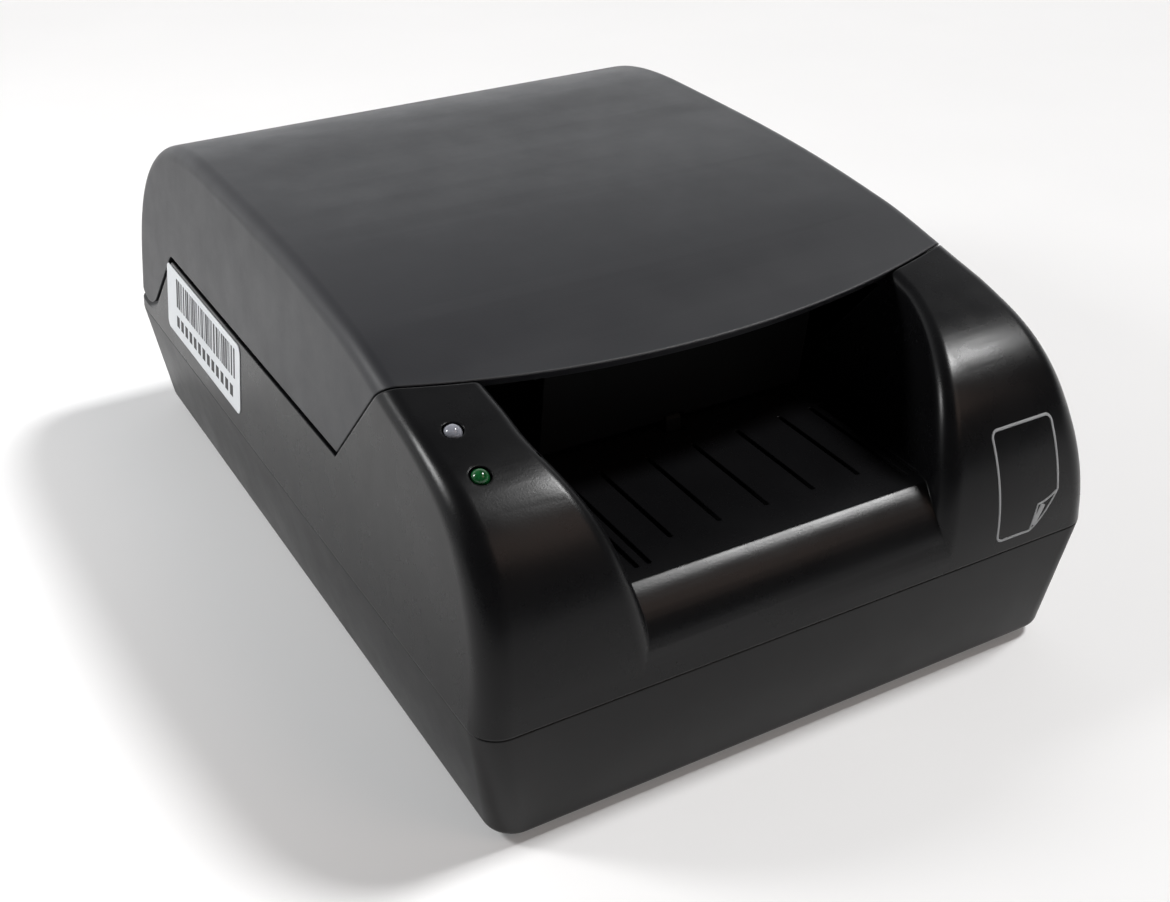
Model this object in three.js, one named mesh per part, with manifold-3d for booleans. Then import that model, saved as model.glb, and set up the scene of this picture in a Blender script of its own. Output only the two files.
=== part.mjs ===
// Desktop scanner for identity cards. A card is laid in the recess between the two shoulders, and rubber
// rollers draw it along the bed, over a line sensor and under the hinged cover, and hand it back.
// Millimetres, +Z up. The origin is on the table under the middle of the casing, and the card goes in
// along +Y. A size named SETBACK is measured from the casing's front or rear end, an INSET from its side,
// and a DROP from the top above it.

import * as THREE from 'three';
import { mergeVertices } from 'three/addons/utils/BufferGeometryUtils.js';
import Module from 'manifold-3d';

const wasm = await Module();
wasm.setup();

// Casing, overall
const BODY_WIDTH = 120;
const BODY_DEPTH = 175;
const BODY_HEIGHT = 69;
const BASE_HEIGHT = 23.3;
const WALL = 2.2;
const SEAM_GAP = 0.3;
const SIDE_LEAN = 6.4;
const BASE_TAPER_SIDE = 3.4;
const BASE_TAPER_END = 2.9;
const CORNER_RADIUS = 5;
const UNDERSIDE_EDGE = 1.6;
const TONGUE_DEPTH = 2.4;
const TONGUE_THICKNESS = 1.2;

// Side view of the casing above the seam
const NOSE_CENTRE_HEIGHT = 27;
const NOSE_TOP_DROP = 6;
const CROWN_SETBACK = 49.5;
const REAR_CURVE_START = 32;
const COVER_EDGE_RADIUS = 2.8;
const NOSE_EDGE_START = 0.3;
const REAR_EDGE_START = 0.2;

// Clearances
const FIT = 0.3;
const COVER_GAP = 0.9;
const EAR_SIDE_GAP = 0.6;
const OVERSHOOT = 1;
const WELD_DISTANCE = 1e-4;
const ROOT = 0.5;
const SHELL_EDGE_RADIUS = 0.6;
const SHELL_CORNER_RADIUS = 1;

// Card recess, bed and channel
const CARD_WIDTH = 54;
const CARD_SIDE_CLEARANCE = 1;
const BED_HEIGHT = 37.5;
const RECESS_LEAN = 10.2;
const SHOULDER_EDGE_RADIUS = 5;
const LIP_RADIUS = 7.5;
const CHANNEL_END_SETBACK = 13.5;
const GROOVE_COUNT = 5;
const GROOVE_PITCH = 9.3;
const GROOVE_WIDTH = 0.9;
const GROOVE_DEPTH = 0.6;
const GROOVE_FRONT_SETBACK = 14.9;
const GROOVE_REAR_SETBACK = 37.5;
const EDGE_GROOVE_CARD_MARGIN = 1.7;
const EDGE_GROOVE_FRONT_SETBACK = 10.5;
const WALL_GROOVE_WIDTH = 0.9;

// Cover
const FRONT_CORNER_INSET = 6.5;
const FRONT_CORNER_SETBACK = 37.5;
const FRONT_BOW = 9;
const FRONT_EDGE_DROP = 6.5;
const FRONT_CUT_MARGIN = 12;
const FRONT_UNDERCUT = 0.8;
const SKIRT_HEIGHT = 43.5;
const REAR_SKIRT_RISE = 1;
const REAR_CHAMFER = 1.6;
const HINGE_SETBACK = 8.5;
const HINGE_HEIGHT = 35;
const EAR_RADIUS = 8.5;
const EAR_INNER_INSET = 13;
const EAR_PEAK_SETBACK = 26.5;
const EAR_PEAK_RADIUS = 3;
const EAR_CHEEK = 2.5;
const EAR_CHEEK_DROP = 16;
const COVER_RIB_INSET = 19;
const COVER_RIB_THICKNESS = 1.4;
const COVER_RIB_DEPTH = 4;
const COVER_RIB_FRONT_SETBACK = 53.5;
const COVER_RIB_REAR_SETBACK = 35.5;
const COVER_CROSS_RIBS = 4;

// Hinge pins
const PIN_RADIUS = 2;
const PIN_INNER_INSET = 21.5;
const PIN_OUTER_INSET = 6;
const PIN_BOSS_WALL = 2.2;

// Feet and casing screws
const FOOT_PROUD = 1.5;
const FOOT_RADIUS = 6;
const FOOT_RECESS = 1;
const FOOT_EDGE = 0.5;
const FOOT_INSET_X = 15;
const FOOT_INSET_Y = 29.5;
const SCREW_FRONT_INSET = 20;
const SCREW_FRONT_SETBACK = 15.5;
const SCREW_REAR_INSET = 20.5;
const SCREW_REAR_SETBACK = 14.5;
const SCREW_RADIUS = 1.5;
const SCREW_HEAD_RADIUS = 2.8;
const SCREW_HEAD_HEIGHT = 2;
const SCREW_HEAD_DEPTH = 6;
const SCREW_LENGTH = 15;
const BOSS_WALL = 1.8;
const BOSS_JOINT_HEIGHT = 12.4;

// Status lights in the left shoulder
const LED_RADIUS = 1.5;
const LED_FLANGE_RADIUS = 1.9;
const LED_FLANGE_HEIGHT = 1;
const LED_BODY = 2;
const LED_PROUD = 0.5;
const LED_COUNTERSINK_RADIUS = 2.6;
const LED_COUNTERSINK_DEPTH = 0.7;
const LED_CLEAR_INSET = 9;
const LED_CLEAR_SETBACK = 26;
const LED_GREEN_INSET = 9.6;
const LED_GREEN_SETBACK = 18;
const LED_BOARD_LENGTH = 17;
const LED_BOARD_WIDTH = 4.8;
const LED_BOARD_THICKNESS = 1.2;
const LED_LEAD_LENGTH = 1;

// Rollers and shafts under the bed
const ROLLER_RADIUS = 6;
const ROLLER_LENGTH = 14;
const ROLLER_X = 14;
const ROLLER_PROUD = 0.5;
const SHAFT_RADIUS = 2.5;
const ENTRY_SETBACK = 57.5;
const TRANSPORT_SETBACK = 93.5;
const SHAFT_LEFT_PROUD = 4;
const SHAFT_END = 1;
const SHAFT_CHAMFER = 0.4;
const SLOT_CLEARANCE = 0.6;
const BUSHING_WALL = 1.3;
const BUSHING_FLANGE = 1.1;
const BUSHING_FLANGE_THICKNESS = 1;

// Side plates that carry the shafts
const PLATE_SENSOR_GAP = 4;
const PLATE_THICKNESS = 1.2;
const PLATE_TOP_GAP = 0.4;
const PLATE_BOSS_LENGTH = 5;
const PLATE_BOSS_WIDTH = 7;
const PLATE_BOSS_DROP = 9;
const PLATE_SCREW_RADIUS = 1.2;
const PLATE_SCREW_DROP = 4.6;
const PLATE_FRONT_GAP = 12;
const PLATE_SCREW_FRONT_GAP = 8;
const RIGHT_PLATE_SCREW_REAR_GAP = 43;
const LEFT_PLATE_SCREW_REAR_GAP = 10;
const PLATE_MARGIN = 4;
const PLATE_CORNER = 2;
const PLATE_STEP = 12;

// Gear train on the right-hand plate
const GEAR_MODULE = 0.8;
const SHAFT_TEETH = 18;
const IDLER_TEETH = 30;
const REDUCTION_SMALL_TEETH = 14;
const REDUCTION_LARGE_TEETH = 30;
const PINION_TEETH = 12;
const GEAR_WIDTH = 4;
const GEAR_PLATE_GAP = 4.5;
const GEAR_PLANE_STEP = 6;
const REDUCTION_ANGLE = -25;
const PINION_ANGLE = -28;
const GEAR_BACKLASH = 0.12;
const TOOTH_ABOVE_PITCH = 0.9;
const TOOTH_BELOW_PITCH = 1.2;
const TOOTH_TIP_SHARE = 0.5;
const TOOTH_ROOT_SHARE = 1.5;
const AXLE_RADIUS = 1.5;
const AXLE_HEAD_RADIUS = 2.8;
const AXLE_HEAD_THICKNESS = 1;
const AXLE_TAIL = 0.8;
const HUB_RADIUS = 3.6;
const SHAFT_HUB_RADIUS = 4.4;

// Motor
const MOTOR_RADIUS = 15;
const MOTOR_LENGTH = 19;
const MOTOR_BOSS_RADIUS = 4;
const MOTOR_SHAFT_RADIUS = 1;
const MOTOR_EAR_RADIUS = 3.2;
const MOTOR_EAR_THICKNESS = 1;
const MOTOR_EAR_OVERLAP = 0.5;
const MOTOR_EDGE = 1;
const MOTOR_BOSS_PROUD = 0.8;
const PINION_SHAFT_INSIDE = 4;
const PINION_SHAFT_PROUD = 1;
const PINION_MARGIN = 0.4;

// Line sensor
const SENSOR_SETBACK = 75.5;
const GLASS_WIDTH = 12.4;
const GLASS_CARD_MARGIN = 0.3;
const SENSOR_WIDTH = 14;
const SENSOR_CARD_MARGIN = 3;
const SENSOR_HEIGHT = 11.5;
const SENSOR_SLIT_WIDTH = 4;
const SENSOR_SLIT_CARD_MARGIN = 1;
const SENSOR_SLIT_DEPTH = 5;
const SENSOR_CONNECTOR_LENGTH = 12;
const SENSOR_CONNECTOR_SIZE = 3;
const SENSOR_CONNECTOR_RISE = 1;
const BRACKET_THICKNESS = 1.2;
const BRACKET_WIDTH = 10;
const BRACKET_TAB = 9;

// Card flag and its optical switch
const FLAG_SETBACK = 44.5;
const FLAG_PIVOT_DROP = 6;
const FLAG_PROUD = 2.8;
const FLAG_WIDTH = 3;
const FLAG_HUB_RADIUS = 2.2;
const FLAG_PIN_RADIUS = 1;
const FLAG_EAR = 2;
const FLAG_EAR_MARGIN = 1;
const FLAG_ROOT_THICKNESS = 2.8;
const FLAG_TIP_THICKNESS = 2.2;
const FLAG_TIP_BEVEL = 0.8;
const FLAG_VANE_LENGTH = 9;
const FLAG_VANE_WIDTH = 4;
const FLAG_VANE_THICKNESS = 1;
const FLAG_VANE_IN_SWITCH = 4;
const FLAG_SWING = 48;
const SWITCH_WIDTH = 10;
const SWITCH_DEPTH = 8;
const SWITCH_HEIGHT = 8;
const SWITCH_SLOT = 3;
const SWITCH_FLOOR = 2.5;

// Main board and its sockets
const BOARD_LEFT_X = -28;
const BOARD_RIGHT_X = 8;
const BOARD_FRONT_SETBACK = 55.5;
const BOARD_REAR_GAP = 0.8;
const BOARD_THICKNESS = 1.6;
const BOARD_STANDOFF = 4.6;
const STANDOFF_RADIUS = 2.8;
const STANDOFF_INSET = 4;
const STANDOFF_SPAN = 20;
const CAPACITOR_RADIUS = 3;
const CAPACITOR_HEIGHT = 7;
const CAPACITOR_X = 2;
const CAPACITOR_SETBACK = 29.5;
const CAPACITOR_PITCH = 8;
const PROCESSOR = { x: -12, setback: 18, width: 14, depth: 14, height: 1.4 };
const MEMORY = { x: -24, setback: 16, width: 5, depth: 8, height: 1.2 };
const MOTOR_DRIVER = { x: 2, setback: 12, width: 5, depth: 10, height: 1.2 };
const USB_X = -18;
const USB_WIDTH = 12;
const USB_HEIGHT = 11;
const USB_DEPTH = 16.5;
const USB_SHELL = 0.9;
const USB_BEVEL = 2;
const USB_MOUTH_DEPTH = 9;
const USB_TONGUE_WIDTH = 5.8;
const USB_TONGUE_HEIGHT = 3.2;
const JACK_X = -1;
const JACK_WIDTH = 9;
const JACK_HEIGHT = 11;
const JACK_DEPTH = 14;
const JACK_BORE_RADIUS = 3.2;
const JACK_BORE_DEPTH = 10;
const JACK_BORE_RISE = 0.4;
const JACK_PIN_RADIUS = 1;
const SOCKET_PIN_SETBACK = 1;
const SOCKET_CLEARANCE = 0.4;
const SOCKET_SETBACK = 0.8;

// Pressure frame and idlers under the cover
const CARD_GAP = 1.6;
const FRAME_FLOOR = 1.8;
const FRAME_WALL = 1.8;
const FRAME_WALL_HEIGHT = 11;
const FRAME_REAR_WALL_HEIGHT = 5.5;
const FRAME_SIDE_CLEARANCE = 1.2;
const FRAME_FRONT_SETBACK = 43.5;
const FRAME_REAR_SETBACK = 18.5;
const FRAME_FRONT_DROP = 8.9;
const FRAME_FRONT_LEAN = 3;
const PRESSER_RADIUS = 4.5;
const PRESSER_LENGTH = 10;
const PRESSER_SHAFT_RADIUS = 1.5;
const PRESSER_SHAFT_CARD_MARGIN = 3;
const PRESSER_RIB_THICKNESS = 2;
const PRESSER_RIB_HEIGHT = 6;
const PRESSER_RIB_DEPTH = 8;
const PRESSER_LIFT = 0.8;
const SPRING_THICKNESS = 0.5;
const SPRING_WIDTH = 5;
const SPRING_ROLLER_GAP = 1.3;
const SPRING_FOOT = 1.2;
const SPRING_POST_WIDTH = 6;
const PLATEN_CARD_MARGIN = 1;
const PLATEN_WIDTH = 10;
const PLATEN_THICKNESS = 3;
const PLATEN_BRIDGE_WIDTH = 8;
const FRAME_SCREW_CARD_MARGIN = 8;
const FRAME_SCREW_FRONT_SETBACK = 49;
const FRAME_SCREW_REAR_SETBACK = 37.5;
const FRAME_SCREW_RADIUS = 1.25;
const FRAME_SCREW_HEAD_RADIUS = 2.5;
const FRAME_SCREW_HEAD_HEIGHT = 1.6;
const FRAME_SCREW_LENGTH = 9;
const FRAME_SCREW_TIP = 1.5;
const FRAME_CUP_HEIGHT = 5.4;
const FRAME_CUP_WALL = 1.2;

// Number of facets
const ROUND_SIDES = 16;
const ROLLER_SIDES = 20;
const SMALL_SIDES = 8;
const EDGE_STEPS = 3;
const NOSE_STEPS = 8;
const CROWN_STEPS = 4;
const REAR_STEPS = 9;
const BOW_STEPS = 9;
const SKIRT_STEPS = 5;
const CORNER_STEPS = 4;
const DOME_STEPS = 4;

// Places worked out from the sizes above
const HALF_WIDTH = BODY_WIDTH / 2;
const HALF_DEPTH = BODY_DEPTH / 2;
const NOSE_RADIUS = BODY_HEIGHT - NOSE_TOP_DROP - NOSE_CENTRE_HEIGHT;
const CROWN_Y = HALF_DEPTH - CROWN_SETBACK;
const REAR_CURVE_HEIGHT = BODY_HEIGHT - REAR_CURVE_START;
const CHANNEL_END_Y = HALF_DEPTH - CHANNEL_END_SETBACK;
const GROOVE_FRONT_Y = GROOVE_FRONT_SETBACK - HALF_DEPTH;
const GROOVE_REAR_Y = GROOVE_REAR_SETBACK - HALF_DEPTH;
const EDGE_GROOVE_FRONT_Y = EDGE_GROOVE_FRONT_SETBACK - HALF_DEPTH;
const FRONT_CORNER_X = HALF_WIDTH - FRONT_CORNER_INSET;
const FRONT_CORNER_Y = FRONT_CORNER_SETBACK - HALF_DEPTH;
const FRONT_EDGE_HEIGHT = BODY_HEIGHT - FRONT_EDGE_DROP;
const HINGE_Y = HALF_DEPTH - HINGE_SETBACK;
const EAR_INNER_X = HALF_WIDTH - EAR_INNER_INSET;
const EAR_PEAK_Y = HALF_DEPTH - EAR_PEAK_SETBACK;
const EAR_CHEEK_HEIGHT = BODY_HEIGHT - EAR_CHEEK_DROP;
const COVER_RIB_X = HALF_WIDTH - COVER_RIB_INSET;
const COVER_RIB_FRONT_Y = COVER_RIB_FRONT_SETBACK - HALF_DEPTH;
const COVER_RIB_REAR_Y = HALF_DEPTH - COVER_RIB_REAR_SETBACK;
const PIN_INNER_X = HALF_WIDTH - PIN_INNER_INSET;
const PIN_OUTER_X = HALF_WIDTH - PIN_OUTER_INSET;
const FOOT_X = HALF_WIDTH - FOOT_INSET_X;
const FOOT_Y = HALF_DEPTH - FOOT_INSET_Y;
const SCREW_FRONT_X = HALF_WIDTH - SCREW_FRONT_INSET;
const SCREW_FRONT_Y = SCREW_FRONT_SETBACK - HALF_DEPTH;
const SCREW_REAR_X = HALF_WIDTH - SCREW_REAR_INSET;
const SCREW_REAR_Y = HALF_DEPTH - SCREW_REAR_SETBACK;
const LED_CLEAR_X = LED_CLEAR_INSET - HALF_WIDTH;
const LED_CLEAR_Y = LED_CLEAR_SETBACK - HALF_DEPTH;
const LED_GREEN_X = LED_GREEN_INSET - HALF_WIDTH;
const LED_GREEN_Y = LED_GREEN_SETBACK - HALF_DEPTH;
const ENTRY_Y = ENTRY_SETBACK - HALF_DEPTH;
const TRANSPORT_Y = TRANSPORT_SETBACK - HALF_DEPTH;
const SENSOR_Y = SENSOR_SETBACK - HALF_DEPTH;
const FLAG_Y = FLAG_SETBACK - HALF_DEPTH;
const PLATE_FRONT_SCREW_Y = ENTRY_Y - PLATE_SCREW_FRONT_GAP;
const RIGHT_PLATE_REAR_SCREW_Y = TRANSPORT_Y + RIGHT_PLATE_SCREW_REAR_GAP;
const LEFT_PLATE_REAR_SCREW_Y = TRANSPORT_Y + LEFT_PLATE_SCREW_REAR_GAP;
const PLATE_FRONT_Y = ENTRY_Y - PLATE_FRONT_GAP;
const BOARD_FRONT_Y = HALF_DEPTH - BOARD_FRONT_SETBACK;
const CAPACITOR_FIRST_Y = HALF_DEPTH - CAPACITOR_SETBACK;
const FRAME_FRONT_Y = FRAME_FRONT_SETBACK - HALF_DEPTH;
const FRAME_REAR_Y = HALF_DEPTH - FRAME_REAR_SETBACK;
const FRAME_SCREW_FRONT_Y = FRAME_SCREW_FRONT_SETBACK - HALF_DEPTH;
const FRAME_SCREW_REAR_Y = HALF_DEPTH - FRAME_SCREW_REAR_SETBACK;
const UNDERSIDE = FOOT_PROUD;
const SEAM = UNDERSIDE + BASE_HEIGHT;
const CROWN = UNDERSIDE + BODY_HEIGHT;
const BED = UNDERSIDE + BED_HEIGHT;
const BED_BELOW = BED - WALL;
const SKIRT = UNDERSIDE + SKIRT_HEIGHT;
const DECK = SKIRT - COVER_GAP;
const DECK_BELOW = DECK - WALL;
const BASE_FLOOR = UNDERSIDE + WALL;
const HINGE_Z = UNDERSIDE + HINGE_HEIGHT;
const NOSE_Y = -HALF_DEPTH + NOSE_RADIUS;
const NOSE_Z = UNDERSIDE + NOSE_CENTRE_HEIGHT;
const RECESS_HALF = CARD_WIDTH / 2 + CARD_SIDE_CLEARANCE;
const SHAFT_Z = BED + ROLLER_PROUD - ROLLER_RADIUS;
const PLATE_TOP = BED_BELOW - PLATE_TOP_GAP;
const EDGE_GROOVE_X = CARD_WIDTH / 2 - EDGE_GROOVE_CARD_MARGIN;
const FRAME_SCREW_X = CARD_WIDTH / 2 - FRAME_SCREW_CARD_MARGIN;
const PRESSER_SHAFT_LENGTH = CARD_WIDTH - 2 * PRESSER_SHAFT_CARD_MARGIN;
const PLATEN_LENGTH = CARD_WIDTH - 2 * PLATEN_CARD_MARGIN;
const GLASS_LENGTH = CARD_WIDTH - 2 * GLASS_CARD_MARGIN;
const SENSOR_SLIT_LENGTH = CARD_WIDTH - 2 * SENSOR_SLIT_CARD_MARGIN;
const SENSOR_LENGTH = CARD_WIDTH + 2 * SENSOR_CARD_MARGIN;
const PLATE_X = SENSOR_LENGTH / 2 + PLATE_SENSOR_GAP;
const SHAFT_LEFT_X = -PLATE_X - SHAFT_LEFT_PROUD;
const GEAR_FIRST_PLANE_X = PLATE_X + GEAR_PLATE_GAP;
const SECOND_PLANE_X = GEAR_FIRST_PLANE_X + GEAR_PLANE_STEP;
const BEYOND = BODY_DEPTH;

const radians = THREE.MathUtils.degToRad;
const lerp = THREE.MathUtils.lerp;
const smoothstep = THREE.MathUtils.smoothstep;

// Materials
const shellBlack = paint(0x1d1e20, 0.42, 0.0);
const coverSlate = paint(0x2b2d31, 0.5, 0.0);
const frameBlack = paint(0x17181a, 0.6, 0.0);
const rubber = paint(0x1a1a1a, 0.9, 0.0);
const steel = paint(0xa9adb2, 0.3, 1.0);
const zinc = paint(0x9a9ea3, 0.45, 1.0);
const brass = paint(0xb08d4f, 0.35, 1.0);
const gearWhite = paint(0xe6e4dc, 0.5, 0.0);
const platenWhite = paint(0xf1f1ee, 0.6, 0.0);
const boardGreen = paint(0x1f5a36, 0.55, 0.0);
const glass = paint(0xbfd3d6, 0.08, 0.0);
const clearLens = paint(0xdfe4ea, 0.15, 0.0);
const greenLens = paint(0x2f9a4a, 0.2, 0.0);
const socketPlastic = paint(0x0e0e0f, 0.5, 0.0);

function paint(color, roughness, metalness) {
  return new THREE.MeshStandardMaterial({ color, roughness, metalness });
}

// Solids and shapes

function solid(geometry) {
  const bare = new THREE.BufferGeometry();
  bare.setAttribute('position', geometry.getAttribute('position'));
  bare.setIndex(geometry.getIndex());
  const merged = mergeVertices(bare, WELD_DISTANCE);
  const vertProperties = new Float32Array(merged.getAttribute('position').array);
  const triVerts = new Uint32Array(merged.getIndex().array);
  return new wasm.Manifold(new wasm.Mesh({ numProp: 3, vertProperties, triVerts }));
}

function geometryOf(body) {
  const mesh = body.getMesh();
  const geometry = new THREE.BufferGeometry();
  geometry.setAttribute('position', new THREE.BufferAttribute(mesh.vertProperties, 3));
  geometry.setIndex(new THREE.BufferAttribute(mesh.triVerts, 1));
  geometry.computeVertexNormals();
  return geometry;
}

function join(...bodies) {
  return bodies.reduce((sum, body) => sum.add(body));
}

function block(x0, x1, y0, y1, z0, z1) {
  const geometry = new THREE.BoxGeometry(x1 - x0, y1 - y0, z1 - z0);
  geometry.translate((x0 + x1) / 2, (y0 + y1) / 2, (z0 + z1) / 2);
  return solid(geometry);
}

function rodX(radius, x0, x1, y, z, sides = ROUND_SIDES) {
  const geometry = new THREE.CylinderGeometry(radius, radius, x1 - x0, sides);
  geometry.rotateZ(-Math.PI / 2);
  geometry.translate((x0 + x1) / 2, y, z);
  return solid(geometry);
}

function rodY(radius, y0, y1, x, z, sides = ROUND_SIDES) {
  const geometry = new THREE.CylinderGeometry(radius, radius, y1 - y0, sides);
  geometry.translate(x, (y0 + y1) / 2, z);
  return solid(geometry);
}

function rodZ(radius, z0, z1, x, y, sides = ROUND_SIDES) {
  const geometry = new THREE.CylinderGeometry(radius, radius, z1 - z0, sides);
  geometry.rotateX(Math.PI / 2);
  geometry.translate(x, y, (z0 + z1) / 2);
  return solid(geometry);
}

// A body turned about the line through (x, y) along +Z, from [radius, z] points that start and end on
// the axis.
function turnedZ(points, x, y, sides = ROUND_SIDES) {
  const geometry = new THREE.LatheGeometry(points.map(([r, z]) => new THREE.Vector2(r, z)), sides);
  geometry.rotateX(Math.PI / 2);
  geometry.translate(x, y, 0);
  return solid(geometry);
}

// A body turned about the line through (y, z) along +X, from [radius, x] points.
function turnedX(points, y, z, sides = ROUND_SIDES) {
  const geometry = new THREE.LatheGeometry(points.map(([r, x]) => new THREE.Vector2(r, x)), sides);
  geometry.rotateZ(-Math.PI / 2);
  geometry.translate(0, y, z);
  return solid(geometry);
}

// A shape drawn in the Y-Z plane, pushed along X.
function prismX(shape, x0, x1, curveSegments = ROUND_SIDES) {
  const geometry = new THREE.ExtrudeGeometry(shape, { depth: x1 - x0, bevelEnabled: false, curveSegments });
  const turn = new THREE.Matrix4().makeBasis(
    new THREE.Vector3(0, 1, 0),
    new THREE.Vector3(0, 0, 1),
    new THREE.Vector3(1, 0, 0),
  );
  geometry.applyMatrix4(turn);
  geometry.translate(x0, 0, 0);
  return solid(geometry);
}

// A shape drawn in the X-Y plane, pushed along Z.
function prismZ(shape, z0, z1, curveSegments = ROUND_SIDES) {
  const geometry = new THREE.ExtrudeGeometry(shape, { depth: z1 - z0, bevelEnabled: false, curveSegments });
  geometry.translate(0, 0, z0);
  return solid(geometry);
}

function polygon(points) {
  return new THREE.Shape(points.map(([u, v]) => new THREE.Vector2(u, v)));
}

// A slot with round ends in the X-Y plane, long in Y.
function slotShape(x, width, y0, y1) {
  const radius = width / 2;
  const shape = new THREE.Shape();
  shape.moveTo(x + radius, y0 + radius);
  shape.lineTo(x + radius, y1 - radius);
  shape.absarc(x, y1 - radius, radius, 0, Math.PI, false);
  shape.lineTo(x - radius, y0 + radius);
  shape.absarc(x, y0 + radius, radius, Math.PI, 2 * Math.PI, false);
  return shape;
}

function roundedPlateShape(u0, u1, v0, v1, radius) {
  const shape = new THREE.Shape();
  shape.moveTo(u0 + radius, v0);
  shape.absarc(u1 - radius, v0 + radius, radius, -Math.PI / 2, 0, false);
  shape.absarc(u1 - radius, v1 - radius, radius, 0, Math.PI / 2, false);
  shape.absarc(u0 + radius, v1 - radius, radius, Math.PI / 2, Math.PI, false);
  shape.absarc(u0 + radius, v0 + radius, radius, Math.PI, 1.5 * Math.PI, false);
  return shape;
}

// A skin over rings of equally many points, closed at both ends. planar(p) gives the view in which the
// ends are flat.
function loft(rings, planar) {
  const count = rings[0].length;
  const index = [];
  for (let ring = 0; ring < rings.length - 1; ring += 1) {
    for (let i = 0; i < count; i += 1) {
      const a = ring * count + i;
      const b = ring * count + ((i + 1) % count);
      index.push(a, b, b + count, a, b + count, a + count);
    }
  }
  const addEnd = (ring, reversed) => {
    const outline = rings[ring].map(planar);
    const positive = THREE.ShapeUtils.area(outline) > 0;
    for (const face of THREE.ShapeUtils.triangulateShape(outline, [])) {
      const faceArea = THREE.ShapeUtils.area(face.map((i) => outline[i]));
      const keep = (faceArea > 0 === positive) !== reversed;
      const order = keep ? face : [face[0], face[2], face[1]];
      index.push(...order.map((i) => ring * count + i));
    }
  };
  addEnd(0, true);
  addEnd(rings.length - 1, false);
  const geometry = new THREE.BufferGeometry();
  const positions = rings.flat().flatMap((p) => [p.x, p.y, p.z]);
  geometry.setAttribute('position', new THREE.Float32BufferAttribute(positions, 3));
  geometry.setIndex(enclosedVolume(positions, index) < 0 ? index.reverse() : index);
  return solid(geometry);
}

function enclosedVolume(positions, index) {
  const corner = (i) => new THREE.Vector3().fromArray(positions, 3 * i);
  let volume = 0;
  for (let i = 0; i < index.length; i += 3) {
    volume += corner(index[i]).dot(corner(index[i + 1]).cross(corner(index[i + 2])));
  }
  return volume / 6;
}

// Outer casing

// Points of the casing's side view from the front seam over the top to the rear seam. Each has its
// outward normal and the radius of the long edge beside it. The nose, the crown and the rear quarter
// ellipse meet smoothly.
function sideProfile(bottom) {
  const rise = CROWN - NOSE_Z;
  const reach = CROWN_Y - NOSE_Y;
  const crownRadius = (reach ** 2 + rise ** 2 - NOSE_RADIUS ** 2) / (2 * (rise - NOSE_RADIUS));
  const crownZ = CROWN - crownRadius;
  const meeting = Math.atan2(NOSE_Z - crownZ, NOSE_Y - CROWN_Y);
  const rearDepth = HALF_DEPTH - CROWN_Y;
  const rearZ = CROWN - REAR_CURVE_HEIGHT;
  const points = [];
  const add = (y, z, normalY, normalZ, edge) => {
    const length = Math.hypot(normalY, normalZ);
    points.push({ y, z, ny: normalY / length, nz: normalZ / length, edge });
  };
  add(-HALF_DEPTH, bottom, -1, 0, CORNER_RADIUS);
  for (let i = 0; i <= NOSE_STEPS; i += 1) {
    const angle = lerp(Math.PI, meeting, i / NOSE_STEPS);
    const edge = lerp(CORNER_RADIUS, COVER_EDGE_RADIUS, smoothstep(i / NOSE_STEPS, NOSE_EDGE_START, 1));
    const [c, s] = [Math.cos(angle), Math.sin(angle)];
    add(NOSE_Y + NOSE_RADIUS * c, NOSE_Z + NOSE_RADIUS * s, c, s, edge);
  }
  for (let i = 1; i <= CROWN_STEPS; i += 1) {
    const angle = lerp(meeting, Math.PI / 2, i / CROWN_STEPS);
    const [c, s] = [Math.cos(angle), Math.sin(angle)];
    add(CROWN_Y + crownRadius * c, crownZ + crownRadius * s, c, s, COVER_EDGE_RADIUS);
  }
  for (let i = 1; i <= REAR_STEPS; i += 1) {
    const angle = lerp(Math.PI / 2, 0, i / REAR_STEPS);
    const edge = lerp(COVER_EDGE_RADIUS, CORNER_RADIUS, smoothstep(i / REAR_STEPS, REAR_EDGE_START, 1));
    const [c, s] = [Math.cos(angle), Math.sin(angle)];
    add(CROWN_Y + rearDepth * c, rearZ + REAR_CURVE_HEIGHT * s, c / rearDepth, s / REAR_CURVE_HEIGHT, edge);
  }
  add(HALF_DEPTH, bottom, 1, 0, CORNER_RADIUS);
  return points;
}

function outerSide(z) {
  return HALF_WIDTH - Math.tan(radians(SIDE_LEAN)) * (z - SEAM);
}

function recessSide(z) {
  return RECESS_HALF + Math.tan(radians(RECESS_LEAN)) * (z - BED);
}

// A slab of the casing between two leaning side planes, with its long edges rounded.
function casingSlab({ left, right, leftEdge, rightEdge, inset, bottom }) {
  const profile = sideProfile(bottom);
  const ring = (side, inward, edgeOf, turn) => profile.map((p) => {
    const edge = Math.max(edgeOf(p) - inset, SHELL_EDGE_RADIUS);
    const depth = inset + edge * (1 - Math.sin(turn));
    const z = p.z - p.nz * depth;
    return new THREE.Vector3(side(z) + inward * edge * (1 - Math.cos(turn)), p.y - p.ny * depth, z);
  });
  const rings = [];
  for (let i = 0; i <= EDGE_STEPS; i += 1) {
    rings.push(ring(left, 1, leftEdge, (i / EDGE_STEPS) * (Math.PI / 2)));
  }
  for (let i = EDGE_STEPS; i >= 0; i -= 1) {
    rings.push(ring(right, -1, rightEdge, (i / EDGE_STEPS) * (Math.PI / 2)));
  }
  return loft(rings, (p) => new THREE.Vector2(p.y, p.z));
}

const casingEdge = (p) => p.edge;
const shoulderEdge = () => SHOULDER_EDGE_RADIUS;

function upperBody(inset, bottom) {
  return casingSlab({
    left: (z) => -outerSide(z) + inset,
    right: (z) => outerSide(z) - inset,
    leftEdge: casingEdge,
    rightEdge: casingEdge,
    inset,
    bottom,
  });
}

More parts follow.
